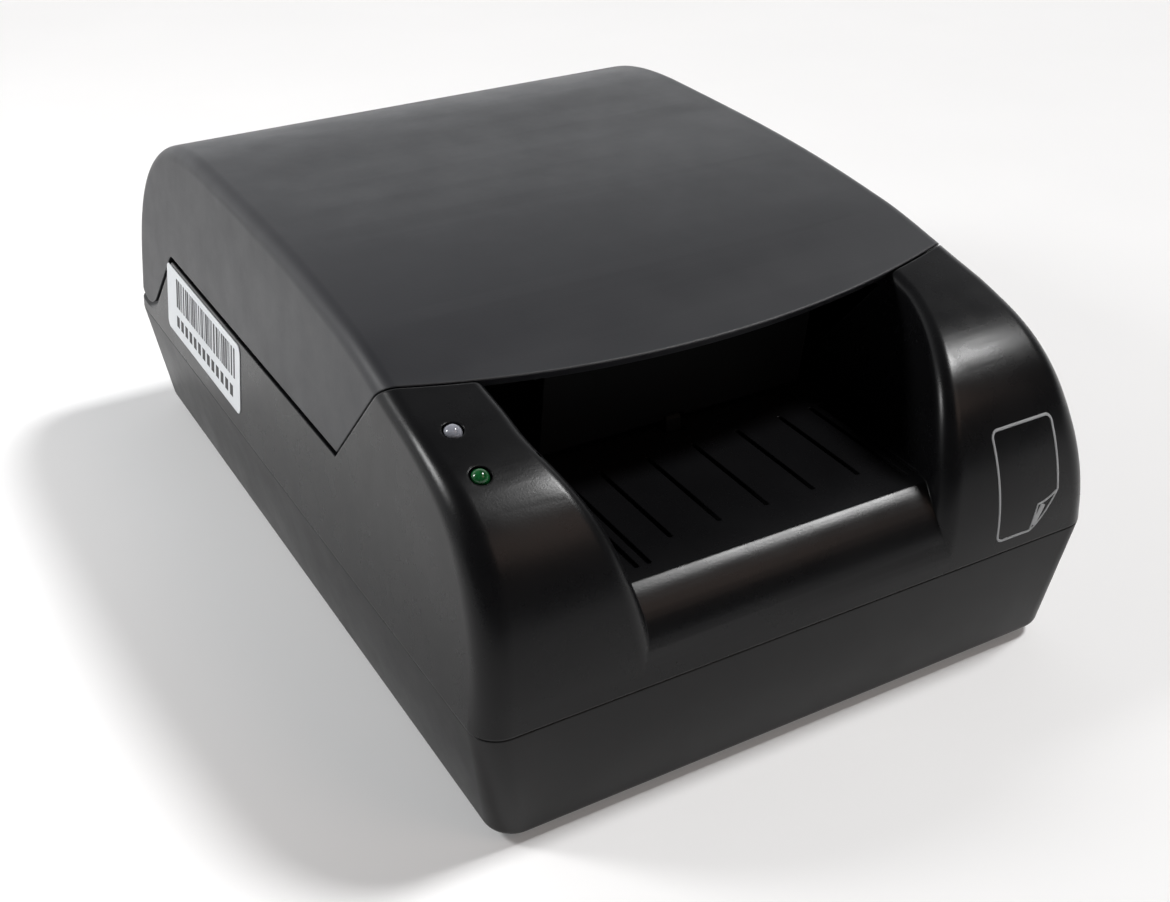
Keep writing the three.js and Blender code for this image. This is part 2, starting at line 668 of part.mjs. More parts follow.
// The slab beside the recess: side = 1 is the right-hand one.
function shoulder(side, inset, bottom) {
  const outer = (z) => side * (outerSide(z) - inset);
  const inner = (z) => side * (recessSide(z) + inset);
  const right = side > 0;
  return casingSlab({
    left: right ? inner : outer,
    right: right ? outer : inner,
    leftEdge: right ? shoulderEdge : casingEdge,
    rightEdge: right ? casingEdge : shoulderEdge,
    inset,
    bottom,
  });
}

// Side view of the body between the shoulders: front wall, rounded lip, bed, and the step up behind the
// channel.
function centreShape(inset, bottom) {
  const lipRadius = LIP_RADIUS - inset;
  const lipZ = BED - LIP_RADIUS;
  const lipY = NOSE_Y - Math.sqrt((NOSE_RADIUS - LIP_RADIUS) ** 2 - (lipZ - NOSE_Z) ** 2);
  const turn = Math.atan2(lipZ - NOSE_Z, lipY - NOSE_Y);
  const rearY = HALF_DEPTH - inset;
  const shape = new THREE.Shape();
  shape.moveTo(-HALF_DEPTH + inset, bottom);
  shape.lineTo(-HALF_DEPTH + inset, NOSE_Z);
  shape.absarc(NOSE_Y, NOSE_Z, NOSE_RADIUS - inset, Math.PI, turn, true);
  shape.absarc(lipY, lipZ, lipRadius, turn, Math.PI / 2, true);
  shape.lineTo(CHANNEL_END_Y + inset, BED - inset);
  shape.lineTo(CHANNEL_END_Y + inset, DECK - inset);
  shape.lineTo(rearY - REAR_CHAMFER, DECK - inset);
  shape.lineTo(rearY, DECK - inset - REAR_CHAMFER);
  shape.lineTo(rearY, bottom);
  return shape;
}

// Where the cover is

function hingeTangent() {
  const dy = HINGE_Y - EAR_PEAK_Y;
  const dz = HINGE_Z - SKIRT;
  return Math.atan2(dz, dy) - Math.asin(EAR_RADIUS / Math.hypot(dy, dz));
}

// Side view of the cover's part beside the hinge: level skirt, rounded corner, slope down to the round
// ear. A gap moves the line outwards. openRear leaves the way free for the ear as it turns.
function skirtShape(gap, openRear) {
  const slope = hingeTangent();
  const away = slope - Math.PI / 2;
  const level = SKIRT - gap;
  const earRadius = EAR_RADIUS + gap;
  const touch = new THREE.Vector2(HINGE_Y + earRadius * Math.cos(away), HINGE_Z + earRadius * Math.sin(away));
  const cornerRadius = EAR_PEAK_RADIUS - gap;
  const shape = new THREE.Shape();
  shape.moveTo(-BEYOND, BEYOND);
  shape.lineTo(-BEYOND, level);
  if (cornerRadius > FIT) {
    const back = EAR_PEAK_RADIUS / Math.tan((Math.PI + slope) / 2);
    shape.absarc(EAR_PEAK_Y - back, SKIRT - EAR_PEAK_RADIUS, cornerRadius, Math.PI / 2, away + Math.PI, true);
  } else {
    shape.lineTo(touch.x + (level - touch.y) / Math.tan(slope), level);
  }
  if (openRear) {
    shape.absarc(HINGE_Y, HINGE_Z, earRadius, away, -Math.PI / 2, false);
    shape.lineTo(BEYOND, HINGE_Z - earRadius);
  } else {
    shape.absarc(HINGE_Y, HINGE_Z, earRadius, away, 0, false);
    shape.lineTo(BEYOND, HINGE_Z);
  }
  shape.lineTo(BEYOND, BEYOND);
  return shape;
}

// Everything behind the bowed front edge of the cover. The edge leans back as it goes down.
function behindFrontEdge(gap) {
  const radius = (FRONT_CORNER_X ** 2 + FRONT_BOW ** 2) / (2 * FRONT_BOW);
  const centreY = FRONT_CORNER_Y - FRONT_BOW + radius;
  const half = HALF_WIDTH + FRONT_CUT_MARGIN;
  const spread = Math.asin(half / radius);
  const forward = gap * Math.hypot(1, FRONT_UNDERCUT);
  const shape = new THREE.Shape();
  shape.absarc(0, centreY - forward, radius, -Math.PI / 2 - spread, -Math.PI / 2 + spread, false);
  shape.lineTo(half, BEYOND);
  shape.lineTo(-half, BEYOND);
  const geometry = new THREE.ExtrudeGeometry(shape, {
    depth: BEYOND,
    bevelEnabled: false,
    curveSegments: BOW_STEPS,
  });
  const edgeZ = UNDERSIDE + FRONT_EDGE_HEIGHT;
  const shear = new THREE.Matrix4().set(
    1, 0, 0, 0,
    0, 1, -FRONT_UNDERCUT, FRONT_UNDERCUT * edgeZ,
    0, 0, 1, 0,
    0, 0, 0, 1,
  );
  geometry.applyMatrix4(shear);
  return solid(geometry);
}

// The room of the cover, grown by a gap, with its hinge ears outside earInner.
function coverRoom({ gap, earInner, centreLevel, openRear }) {
  const side = skirtShape(gap, openRear);
  const room = join(
    prismX(side, earInner, BEYOND, SKIRT_STEPS),
    prismX(side, -BEYOND, -earInner, SKIRT_STEPS),
    block(-earInner, earInner, -BEYOND, BEYOND, centreLevel, BEYOND),
  );
  return room.intersect(behindFrontEdge(gap));
}

// Cover body

function frameScrewPlaces() {
  return [
    [-FRAME_SCREW_X, FRAME_SCREW_FRONT_Y],
    [FRAME_SCREW_X, FRAME_SCREW_FRONT_Y],
    [-FRAME_SCREW_X, FRAME_SCREW_REAR_Y],
    [FRAME_SCREW_X, FRAME_SCREW_REAR_Y],
  ];
}

const FRAME_BELOW = BED + CARD_GAP;
const FRAME_CUP_TOP = FRAME_BELOW + FRAME_CUP_HEIGHT;

function topCover() {
  const outer = upperBody(0, SEAM);
  const inner = upperBody(WALL, SEAM - WALL);
  const room = coverRoom({
    gap: 0,
    earInner: EAR_INNER_X,
    centreLevel: SKIRT + REAR_SKIRT_RISE,
    openRear: false,
  });
  const earZone = (x0, x1) => block(x0, x1, EAR_PEAK_Y, BEYOND, 0, UNDERSIDE + EAR_CHEEK_HEIGHT);
  let ears = null;
  for (const side of [-1, 1]) {
    const [x0, x1] = side > 0 ? [EAR_INNER_X, HALF_WIDTH] : [-HALF_WIDTH, -EAR_INNER_X];
    const [c0, c1] = side > 0 ? [x0, x0 + EAR_CHEEK] : [x1 - EAR_CHEEK, x1];
    const cheek = prismX(skirtShape(0, false), c0, c1, SKIRT_STEPS);
    const hollow = prismX(skirtShape(-WALL, false), x0 - OVERSHOOT, x1 + OVERSHOOT, SKIRT_STEPS);
    const rim = prismX(skirtShape(0, false), x0, x1, SKIRT_STEPS).subtract(hollow);
    const pinBoss = rodX(PIN_RADIUS + FIT + PIN_BOSS_WALL, x0, x1, HINGE_Y, HINGE_Z);
    const ear = join(cheek, rim, pinBoss).intersect(earZone(x0, x1));
    ears = ears ? ears.add(ear) : ear;
  }
  let inside = ears;
  for (const side of [-1, 1]) {
    const x = side * COVER_RIB_X;
    inside = inside.add(block(
      x - COVER_RIB_THICKNESS / 2, x + COVER_RIB_THICKNESS / 2,
      COVER_RIB_FRONT_Y, COVER_RIB_REAR_Y, SKIRT + WALL, BEYOND,
    ));
  }
  for (let i = 0; i < COVER_CROSS_RIBS; i += 1) {
    const y = lerp(COVER_RIB_FRONT_Y, COVER_RIB_REAR_Y, i / (COVER_CROSS_RIBS - 1));
    inside = inside.add(block(
      -COVER_RIB_X, COVER_RIB_X, y - COVER_RIB_THICKNESS / 2, y + COVER_RIB_THICKNESS / 2,
      SKIRT + WALL, BEYOND,
    ));
  }
  const ribRoom = upperBody(WALL + COVER_RIB_DEPTH, SEAM - WALL);
  inside = inside.subtract(ribRoom.intersect(block(-HALF_WIDTH, HALF_WIDTH, -BEYOND, EAR_PEAK_Y, 0, BEYOND)));
  for (const [x, y] of frameScrewPlaces()) {
    inside = inside.add(rodZ(FRAME_SCREW_RADIUS + FIT + BOSS_WALL, FRAME_CUP_TOP + FIT, BEYOND, x, y));
  }
  let cover = outer.subtract(inner).intersect(room).add(inside.intersect(outer));
  for (const [x, y] of frameScrewPlaces()) {
    const top = FRAME_CUP_TOP + FRAME_SCREW_LENGTH;
    const bore = FRAME_SCREW_RADIUS + FIT;
    cover = cover.subtract(rodZ(bore, FRAME_CUP_TOP - OVERSHOOT, top, x, y, SMALL_SIDES));
  }
  for (const [x0, x1] of [
    [EAR_INNER_X - OVERSHOOT, PIN_OUTER_X + FIT],
    [-PIN_OUTER_X - FIT, OVERSHOOT - EAR_INNER_X],
  ]) {
    cover = cover.subtract(rodX(PIN_RADIUS + FIT, x0, x1, HINGE_Y, HINGE_Z));
  }
  return cover;
}

const PRESSER_Z = BED + ROLLER_PROUD + FIT + PRESSER_RADIUS;
const FRAME_TOP = FRAME_BELOW + FRAME_FLOOR;

// The moulded frame under the cover: a floor over the card's way, low side walls, and a front wall in
// the mouth.
function pressureFrame() {
  const halfWidth = RECESS_HALF - FRAME_SIDE_CLEARANCE;
  const frontTop = CROWN - FRAME_FRONT_DROP;
  const front = polygon([
    [FRAME_FRONT_Y, FRAME_BELOW + FRAME_FLOOR / 2],
    [FRAME_FRONT_Y + FRAME_FLOOR / 2, FRAME_BELOW],
    [FRAME_FRONT_Y + FRAME_WALL, FRAME_BELOW],
    [FRAME_FRONT_Y + FRAME_WALL - FRAME_FRONT_LEAN, frontTop],
    [FRAME_FRONT_Y - FRAME_FRONT_LEAN, frontTop],
  ]);
  let frame = join(
    block(-halfWidth, halfWidth, FRAME_FRONT_Y + FRAME_WALL / 2, FRAME_REAR_Y, FRAME_BELOW, FRAME_TOP),
    prismX(front, -halfWidth, halfWidth),
  );
  for (const x of [-halfWidth, halfWidth - FRAME_WALL]) {
    const wallY = FRAME_FRONT_Y + FRAME_WALL / 2;
    const wallTop = FRAME_TOP + FRAME_WALL_HEIGHT;
    frame = frame.add(block(x, x + FRAME_WALL, wallY, FRAME_REAR_Y, FRAME_BELOW, wallTop));
  }
  frame = frame.add(block(
    -halfWidth, halfWidth, FRAME_REAR_Y - FRAME_WALL, FRAME_REAR_Y,
    FRAME_BELOW, FRAME_TOP + FRAME_REAR_WALL_HEIGHT,
  ));
  const ribTop = FRAME_TOP + PRESSER_RIB_HEIGHT;
  const shaftRoom = PRESSER_SHAFT_RADIUS + FIT;
  for (const y of [ENTRY_Y, TRANSPORT_Y]) {
    for (const x of presserRibPlaces()) {
      const rib = block(
        x - PRESSER_RIB_THICKNESS / 2, x + PRESSER_RIB_THICKNESS / 2,
        y - PRESSER_RIB_DEPTH / 2, y + PRESSER_RIB_DEPTH / 2, FRAME_BELOW, ribTop,
      );
      frame = frame.add(rib);
    }
    const postTop = springPostTop();
    frame = frame.add(block(
      -SPRING_POST_WIDTH / 2, SPRING_POST_WIDTH / 2,
      y - PRESSER_RIB_DEPTH / 2, y + PRESSER_RIB_DEPTH / 2, FRAME_BELOW, postTop,
    ));
    const reach = PRESSER_SHAFT_LENGTH / 2 + FIT;
    frame = frame.subtract(rodX(shaftRoom, -reach, reach, y, PRESSER_Z));
    frame = frame.subtract(rodX(shaftRoom, -reach, reach, y, PRESSER_Z + PRESSER_LIFT));
    const ribSlot = block(-reach, reach, y - shaftRoom, y + shaftRoom, PRESSER_Z, ribTop + OVERSHOOT);
    const post = block(
      -SPRING_POST_WIDTH, SPRING_POST_WIDTH, y - PRESSER_RIB_DEPTH, y + PRESSER_RIB_DEPTH,
      PRESSER_Z + PRESSER_LIFT, BEYOND,
    );
    frame = frame.subtract(ribSlot.subtract(post));
    for (const x of [-ROLLER_X, ROLLER_X]) {
      const halfLength = PRESSER_LENGTH / 2 + SLOT_CLEARANCE;
      const halfSlot = PRESSER_RADIUS + SLOT_CLEARANCE;
      frame = frame.subtract(block(
        x - halfLength, x + halfLength, y - halfSlot, y + halfSlot, FRAME_BELOW - OVERSHOOT, BEYOND,
      ));
    }
  }
  frame = frame.subtract(block(
    -PLATEN_LENGTH / 2 - FIT, PLATEN_LENGTH / 2 + FIT,
    SENSOR_Y - PLATEN_WIDTH / 2 - FIT, SENSOR_Y + PLATEN_WIDTH / 2 + FIT, FRAME_BELOW - OVERSHOOT, BEYOND,
  ));
  const roomY = PLATEN_WIDTH / 2 + FIT;
  const roomZ = FRAME_BELOW + PLATEN_THICKNESS + FIT;
  for (const x of [-ROLLER_X, ROLLER_X]) {
    const x0 = x - PLATEN_BRIDGE_WIDTH / 2;
    const x1 = x + PLATEN_BRIDGE_WIDTH / 2;
    const bridgeY = roomY + FRAME_WALL;
    frame = frame
      .add(block(x0, x1, SENSOR_Y - bridgeY, SENSOR_Y + bridgeY, FRAME_BELOW, roomZ + FRAME_WALL))
      .subtract(block(
        x0 - OVERSHOOT, x1 + OVERSHOOT, SENSOR_Y - roomY, SENSOR_Y + roomY, FRAME_BELOW - OVERSHOOT, roomZ,
      ));
  }
  const flagHalf = FLAG_WIDTH / 2 + SLOT_CLEARANCE;
  frame = frame.subtract(block(
    -flagHalf, flagHalf, FRAME_FRONT_Y - FRAME_FRONT_LEAN - OVERSHOOT, ENTRY_Y - PRESSER_RIB_DEPTH / 2 - FIT,
    FRAME_BELOW - OVERSHOOT, BED + FLAG_PROUD + FIT,
  ));
  for (const [x, y] of frameScrewPlaces()) {
    const cupRadius = FRAME_SCREW_HEAD_RADIUS + FIT + FRAME_CUP_WALL;
    frame = frame.add(rodZ(cupRadius, FRAME_BELOW, FRAME_CUP_TOP, x, y));
    const room = FRAME_SCREW_HEAD_RADIUS + FIT;
    frame = frame.subtract(rodZ(room, FRAME_BELOW - OVERSHOOT, FRAME_CUP_TOP - FRAME_FLOOR, x, y));
    const bore = FRAME_SCREW_RADIUS + FIT;
    frame = frame.subtract(rodZ(bore, FRAME_BELOW, FRAME_CUP_TOP + OVERSHOOT, x, y, SMALL_SIDES));
  }
  return frame;
}

function presserRibPlaces() {
  const outer = PRESSER_SHAFT_LENGTH / 2 - PRESSER_RIB_THICKNESS / 2;
  const inner = ROLLER_X - PRESSER_LENGTH / 2 - SLOT_CLEARANCE - PRESSER_RIB_THICKNESS;
  return [-outer, -inner, inner, outer];
}

function springLevel() {
  return PRESSER_Z + PRESSER_RADIUS + SPRING_ROLLER_GAP;
}

function springPostTop() {
  return springLevel() - FIT;
}

// A leaf spring along X: its middle lies on the post over the rollers, and its bent ends press on the shaft.
function leafSpring(y) {
  const low = PRESSER_Z + PRESSER_SHAFT_RADIUS + FIT;
  const high = springLevel();
  const end = PRESSER_SHAFT_LENGTH / 2 - PRESSER_RIB_THICKNESS - FIT;
  const bendLow = end - SPRING_FOOT;
  const bendHigh = ROLLER_X + PRESSER_LENGTH / 2;
  const t = SPRING_THICKNESS;
  const half = [[bendHigh, high], [bendLow, low], [end, low]];
  const upper = [[end, low + t], [bendLow + t / 2, low + t], [bendHigh + t / 2, high + t]];
  const right = [...half, ...upper];
  const shape = polygon([...right, ...right.map(([x, z]) => [-x, z]).reverse()]);
  const geometry = new THREE.ExtrudeGeometry(shape, { depth: SPRING_WIDTH, bevelEnabled: false });
  geometry.rotateX(Math.PI / 2);
  geometry.translate(0, y + SPRING_WIDTH / 2, 0);
  return solid(geometry);
}

function frameScrew(x, y) {
  const seat = FRAME_CUP_TOP - FRAME_FLOOR - FIT;
  const head = seat - FRAME_SCREW_HEAD_HEIGHT;
  return turnedZ([
    [0, head],
    [FRAME_SCREW_HEAD_RADIUS, head],
    [FRAME_SCREW_HEAD_RADIUS, seat],
    [FRAME_SCREW_RADIUS, seat],
    [FRAME_SCREW_RADIUS, FRAME_CUP_TOP + FRAME_SCREW_LENGTH - FRAME_SCREW_TIP],
    [0, FRAME_CUP_TOP + FRAME_SCREW_LENGTH - FIT],
  ], x, y, SMALL_SIDES);
}

// Middle casing

function casingScrewPlaces() {
  return [
    [-SCREW_FRONT_X, SCREW_FRONT_Y],
    [SCREW_FRONT_X, SCREW_FRONT_Y],
    [-SCREW_REAR_X, SCREW_REAR_Y],
    [SCREW_REAR_X, SCREW_REAR_Y],
  ];
}

// Ring just inside the seam that keeps the two halves in line.
function seamTongue() {
  const outside = WALL + FIT + (TONGUE_DEPTH / BASE_HEIGHT) * BASE_TAPER_SIDE;
  const z0 = SEAM - TONGUE_DEPTH;
  const z1 = SEAM + WALL;
  const ringOf = (inset) => roundedPlateShape(
    -HALF_WIDTH + inset, HALF_WIDTH - inset, -HALF_DEPTH + inset, HALF_DEPTH - inset, CORNER_RADIUS - WALL,
  );
  return prismZ(ringOf(outside), z0, z1, CORNER_STEPS).subtract(
    prismZ(ringOf(outside + TONGUE_THICKNESS), z0 - OVERSHOOT, z1 + OVERSHOOT, CORNER_STEPS),
  );
}

// How far the lights lean forward: the slope of the shoulder's surface between them.
function lightTilt() {
  const drop = surfaceHeight(LED_CLEAR_Y) - surfaceHeight(LED_GREEN_Y);
  return Math.atan2(drop, LED_CLEAR_Y - LED_GREEN_Y);
}

// Height of the nose or crown above a place along Y.
function surfaceHeight(y) {
  const points = sideProfile(SEAM);
  for (let i = 1; i < points.length; i += 1) {
    const [a, b] = [points[i - 1], points[i]];
    if (b.y > a.y && y >= a.y && y <= b.y) {
      return lerp(a.z, b.z, (y - a.y) / (b.y - a.y));
    }
  }
  return CROWN;
}

// A body turned about an axis square to the shoulder under the lights, from [radius, height] points.
// Height 0 is the shoulder's surface.
function turnedAtLight(points, x, y) {
  const geometry = new THREE.LatheGeometry(points.map(([r, h]) => new THREE.Vector2(r, h)), SMALL_SIDES);
  geometry.rotateX(Math.PI / 2 + lightTilt());
  geometry.translate(x, y, surfaceHeight(y));
  return solid(geometry);
}

function lightPlaces() {
  return [
    [LED_CLEAR_X, LED_CLEAR_Y],
    [LED_GREEN_X, LED_GREEN_Y],
  ];
}

function cardGrooves() {
  let grooves = null;
  const bottom = BED - GROOVE_DEPTH;
  const cut = (x, width, front) => {
    const slot = prismZ(slotShape(x, width, front, GROOVE_REAR_Y), bottom, BED + OVERSHOOT, CORNER_STEPS);
    grooves = grooves ? grooves.add(slot) : slot;
  };
  for (let i = 0; i < GROOVE_COUNT; i += 1) {
    cut((i - (GROOVE_COUNT - 1) / 2) * GROOVE_PITCH, GROOVE_WIDTH, GROOVE_FRONT_Y);
  }
  for (const side of [-1, 1]) {
    cut(side * EDGE_GROOVE_X, GROOVE_WIDTH, EDGE_GROOVE_FRONT_Y);
    cut(side * (RECESS_HALF - WALL_GROOVE_WIDTH / 2), WALL_GROOVE_WIDTH, EDGE_GROOVE_FRONT_Y);
  }
  return grooves;
}

// Openings of the bed: two slots for each roller pair, the sensor window and the slot of the card flag.
function bedOpenings() {
  const halfChord = Math.sqrt(ROLLER_RADIUS ** 2 - (BED_BELOW - SHAFT_Z) ** 2) + SLOT_CLEARANCE;
  const halfLength = ROLLER_LENGTH / 2 + SLOT_CLEARANCE;
  let openings = block(
    -GLASS_LENGTH / 2 - FIT, GLASS_LENGTH / 2 + FIT,
    SENSOR_Y - GLASS_WIDTH / 2 - FIT, SENSOR_Y + GLASS_WIDTH / 2 + FIT,
    BED_BELOW - OVERSHOOT, BED + OVERSHOOT,
  );
  for (const y of [ENTRY_Y, TRANSPORT_Y]) {
    for (const x of [-ROLLER_X, ROLLER_X]) {
      openings = openings.add(block(
        x - halfLength, x + halfLength, y - halfChord, y + halfChord, BED_BELOW - OVERSHOOT, BED + OVERSHOOT,
      ));
    }
  }
  const swing = (FLAG_PIVOT_DROP + FLAG_PROUD) * Math.sin(radians(FLAG_SWING));
  const flagHalf = FLAG_WIDTH / 2 + SLOT_CLEARANCE;
  return openings.add(block(
    -flagHalf, flagHalf, FLAG_Y - FLAG_HUB_RADIUS, FLAG_Y + swing + SLOT_CLEARANCE,
    BED_BELOW - OVERSHOOT, BED + OVERSHOOT,
  ));
}

function middleCasing() {
  const bottom = SEAM + SEAM_GAP / 2;
  const earInner = EAR_INNER_X - EAR_SIDE_GAP;
  const centreHalf = RECESS_HALF + SHOULDER_EDGE_RADIUS + WALL;
  const outside = join(
    shoulder(-1, 0, bottom),
    shoulder(1, 0, bottom),
    prismX(centreShape(0, bottom), -centreHalf, centreHalf, CORNER_STEPS).intersect(upperBody(0, bottom)),
  ).subtract(coverRoom({ gap: COVER_GAP, earInner, centreLevel: DECK, openRear: true }));
  const cavityBottom = SEAM - WALL;
  const hollowShoulders = join(shoulder(-1, WALL, cavityBottom), shoulder(1, WALL, cavityBottom));
  const cavitySides = hollowShoulders.subtract(coverRoom({
    gap: COVER_GAP + WALL,
    earInner: earInner - WALL,
    centreLevel: DECK_BELOW,
    openRear: true,
  }));
  const cavityCentre = prismX(centreShape(WALL, cavityBottom), -centreHalf, centreHalf, CORNER_STEPS);
  const cavity = cavitySides.add(cavityCentre.intersect(upperBody(WALL, cavityBottom)));
  let casing = outside.subtract(cavity);
  casing = casing.add(seamTongue().subtract(coverRoom({
    gap: COVER_GAP, earInner, centreLevel: DECK, openRear: true,
  })));
  let supports = null;
  const support = (body) => {
    supports = supports ? supports.add(body) : body;
  };
  const bossRadius = SCREW_RADIUS + FIT + BOSS_WALL;
  const jointZ = UNDERSIDE + BOSS_JOINT_HEIGHT + FIT;
  for (const [x, y] of casingScrewPlaces()) {
    support(rodZ(bossRadius, jointZ, BEYOND, x, y));
  }
  for (const side of [-1, 1]) {
    const pinBoss = PIN_RADIUS + FIT + PIN_BOSS_WALL;
    const [x0, x1] = side > 0 ? [PIN_INNER_X - WALL, earInner] : [-earInner, WALL - PIN_INNER_X];
    support(rodX(pinBoss, x0, x1, HINGE_Y, HINGE_Z));
    const rearScrewY = side > 0 ? RIGHT_PLATE_REAR_SCREW_Y : LEFT_PLATE_REAR_SCREW_Y;
    for (const y of [PLATE_FRONT_SCREW_Y, rearScrewY]) {
      const inner = PLATE_X - FIT - PLATE_BOSS_LENGTH;
      const outer = PLATE_X - FIT;
      support(block(
        side > 0 ? inner : -outer, side > 0 ? outer : -inner,
        y - PLATE_BOSS_WIDTH / 2, y + PLATE_BOSS_WIDTH / 2, BED_BELOW - PLATE_BOSS_DROP, BED_BELOW + ROOT,
      ));
    }
    const flagInner = FLAG_WIDTH / 2 + FIT;
    support(block(
      side > 0 ? flagInner : -flagInner - FLAG_EAR, side > 0 ? flagInner + FLAG_EAR : -flagInner,
      FLAG_Y - FLAG_HUB_RADIUS - FLAG_EAR_MARGIN, FLAG_Y + FLAG_HUB_RADIUS + FLAG_EAR_MARGIN,
      flagPivotZ() - FLAG_HUB_RADIUS - FLAG_EAR_MARGIN, BED_BELOW + ROOT,
    ));
  }
  casing = casing.add(supports.intersect(outsideFill(outside, cavity)));
  casing = casing.subtract(bedOpenings()).subtract(cardGrooves());
  const boreTop = UNDERSIDE + SCREW_HEAD_DEPTH + SCREW_LENGTH + FIT;
  for (const [x, y] of casingScrewPlaces()) {
    casing = casing.subtract(rodZ(SCREW_RADIUS + FIT, jointZ - OVERSHOOT, boreTop, x, y, SMALL_SIDES));
  }
  for (const [x0, x1] of [
    [PIN_INNER_X - FIT, earInner + OVERSHOOT],
    [-earInner - OVERSHOOT, FIT - PIN_INNER_X],
  ]) {
    casing = casing.subtract(rodX(PIN_RADIUS + FIT, x0, x1, HINGE_Y, HINGE_Z));
  }
  for (const [y, z, side] of plateScrewPlaces()) {
    const inner = PLATE_X - FIT - PLATE_BOSS_LENGTH - OVERSHOOT;
    const [x0, x1] = side > 0 ? [inner, PLATE_X] : [-PLATE_X, -inner];
    casing = casing.subtract(rodX(PLATE_SCREW_RADIUS + FIT, x0, x1, y, z, SMALL_SIDES));
  }
  const flagReach = FLAG_WIDTH / 2 + FIT + FLAG_EAR + OVERSHOOT;
  const pinBore = FLAG_PIN_RADIUS + FIT;
  casing = casing.subtract(rodX(pinBore, -flagReach, flagReach, FLAG_Y, flagPivotZ(), SMALL_SIDES));
  for (const [x, y] of lightPlaces()) {
    const hole = LED_RADIUS + FIT;
    casing = casing.subtract(turnedAtLight([
      [0, -WALL - LED_BODY],
      [hole, -WALL - LED_BODY],
      [hole, -LED_COUNTERSINK_DEPTH],
      [LED_COUNTERSINK_RADIUS, 0],
      [LED_COUNTERSINK_RADIUS, OVERSHOOT],
      [0, OVERSHOOT],
    ], x, y));
  }
  return casing;
}

// The room in which supports may grow: inside the casing, or below its open underside.
function outsideFill(outside, cavity) {
  const below = block(-HALF_WIDTH, HALF_WIDTH, -HALF_DEPTH, HALF_DEPTH, 0, SEAM + SEAM_GAP);
  return join(outside, cavity.intersect(outside.add(cavity)), below);
}

// Base casing

// A rounded rectangle of the tapered base at a height, drawn in by an inset.
function baseRing(z, inset) {
  const share = (SEAM - z) / BASE_HEIGHT;
  const halfX = HALF_WIDTH - BASE_TAPER_SIDE * share - inset;
  const halfY = HALF_DEPTH - BASE_TAPER_END * share - inset;
  const radius = Math.max(CORNER_RADIUS - inset, SHELL_CORNER_RADIUS);
  const points = [];
  const steps = EDGE_STEPS + 1;
  const corners = [[1, -1, -90], [1, 1, 0], [-1, 1, 90], [-1, -1, 180]];
  for (const [sx, sy, start] of corners) {
    for (let i = 0; i <= steps; i += 1) {
      const angle = radians(start + (90 * i) / steps);
      points.push(new THREE.Vector3(
        sx * (halfX - radius) + radius * Math.cos(angle),
        sy * (halfY - radius) + radius * Math.sin(angle),
        z,
      ));
    }
  }
  return points;
}

function baseBody() {
  const rings = [];
  for (let i = 0; i <= EDGE_STEPS; i += 1) {
    const turn = (i / EDGE_STEPS) * (Math.PI / 2);
    const z = UNDERSIDE + UNDERSIDE_EDGE * (1 - Math.sin(turn));
    rings.unshift(baseRing(z, UNDERSIDE_EDGE * (1 - Math.cos(turn))));
  }
  rings.push(baseRing(SEAM - SEAM_GAP / 2, 0));
  return loft(rings, (p) => new THREE.Vector2(p.x, p.y));
}

function baseCavity() {
  const top = SEAM + OVERSHOOT;
  return loft([baseRing(BASE_FLOOR, WALL), baseRing(top, WALL)], (p) => new THREE.Vector2(p.x, p.y));
}

function boardStandoffs() {
  const places = [];
  for (const x of [BOARD_LEFT_X + STANDOFF_INSET, BOARD_RIGHT_X - STANDOFF_INSET]) {
    places.push([x, BOARD_FRONT_Y + STANDOFF_INSET]);
    places.push([x, BOARD_FRONT_Y + STANDOFF_INSET + STANDOFF_SPAN]);
  }
  return places;
}

const BOARD_Z = BASE_FLOOR + BOARD_STANDOFF + FIT;
const BOARD_TOP = BOARD_Z + BOARD_THICKNESS;
const SOCKET_FACE_Y = HALF_DEPTH - BASE_TAPER_END / 2 - SOCKET_SETBACK;
const BOARD_REAR_Y = HALF_DEPTH - BASE_TAPER_END - WALL - BOARD_REAR_GAP;

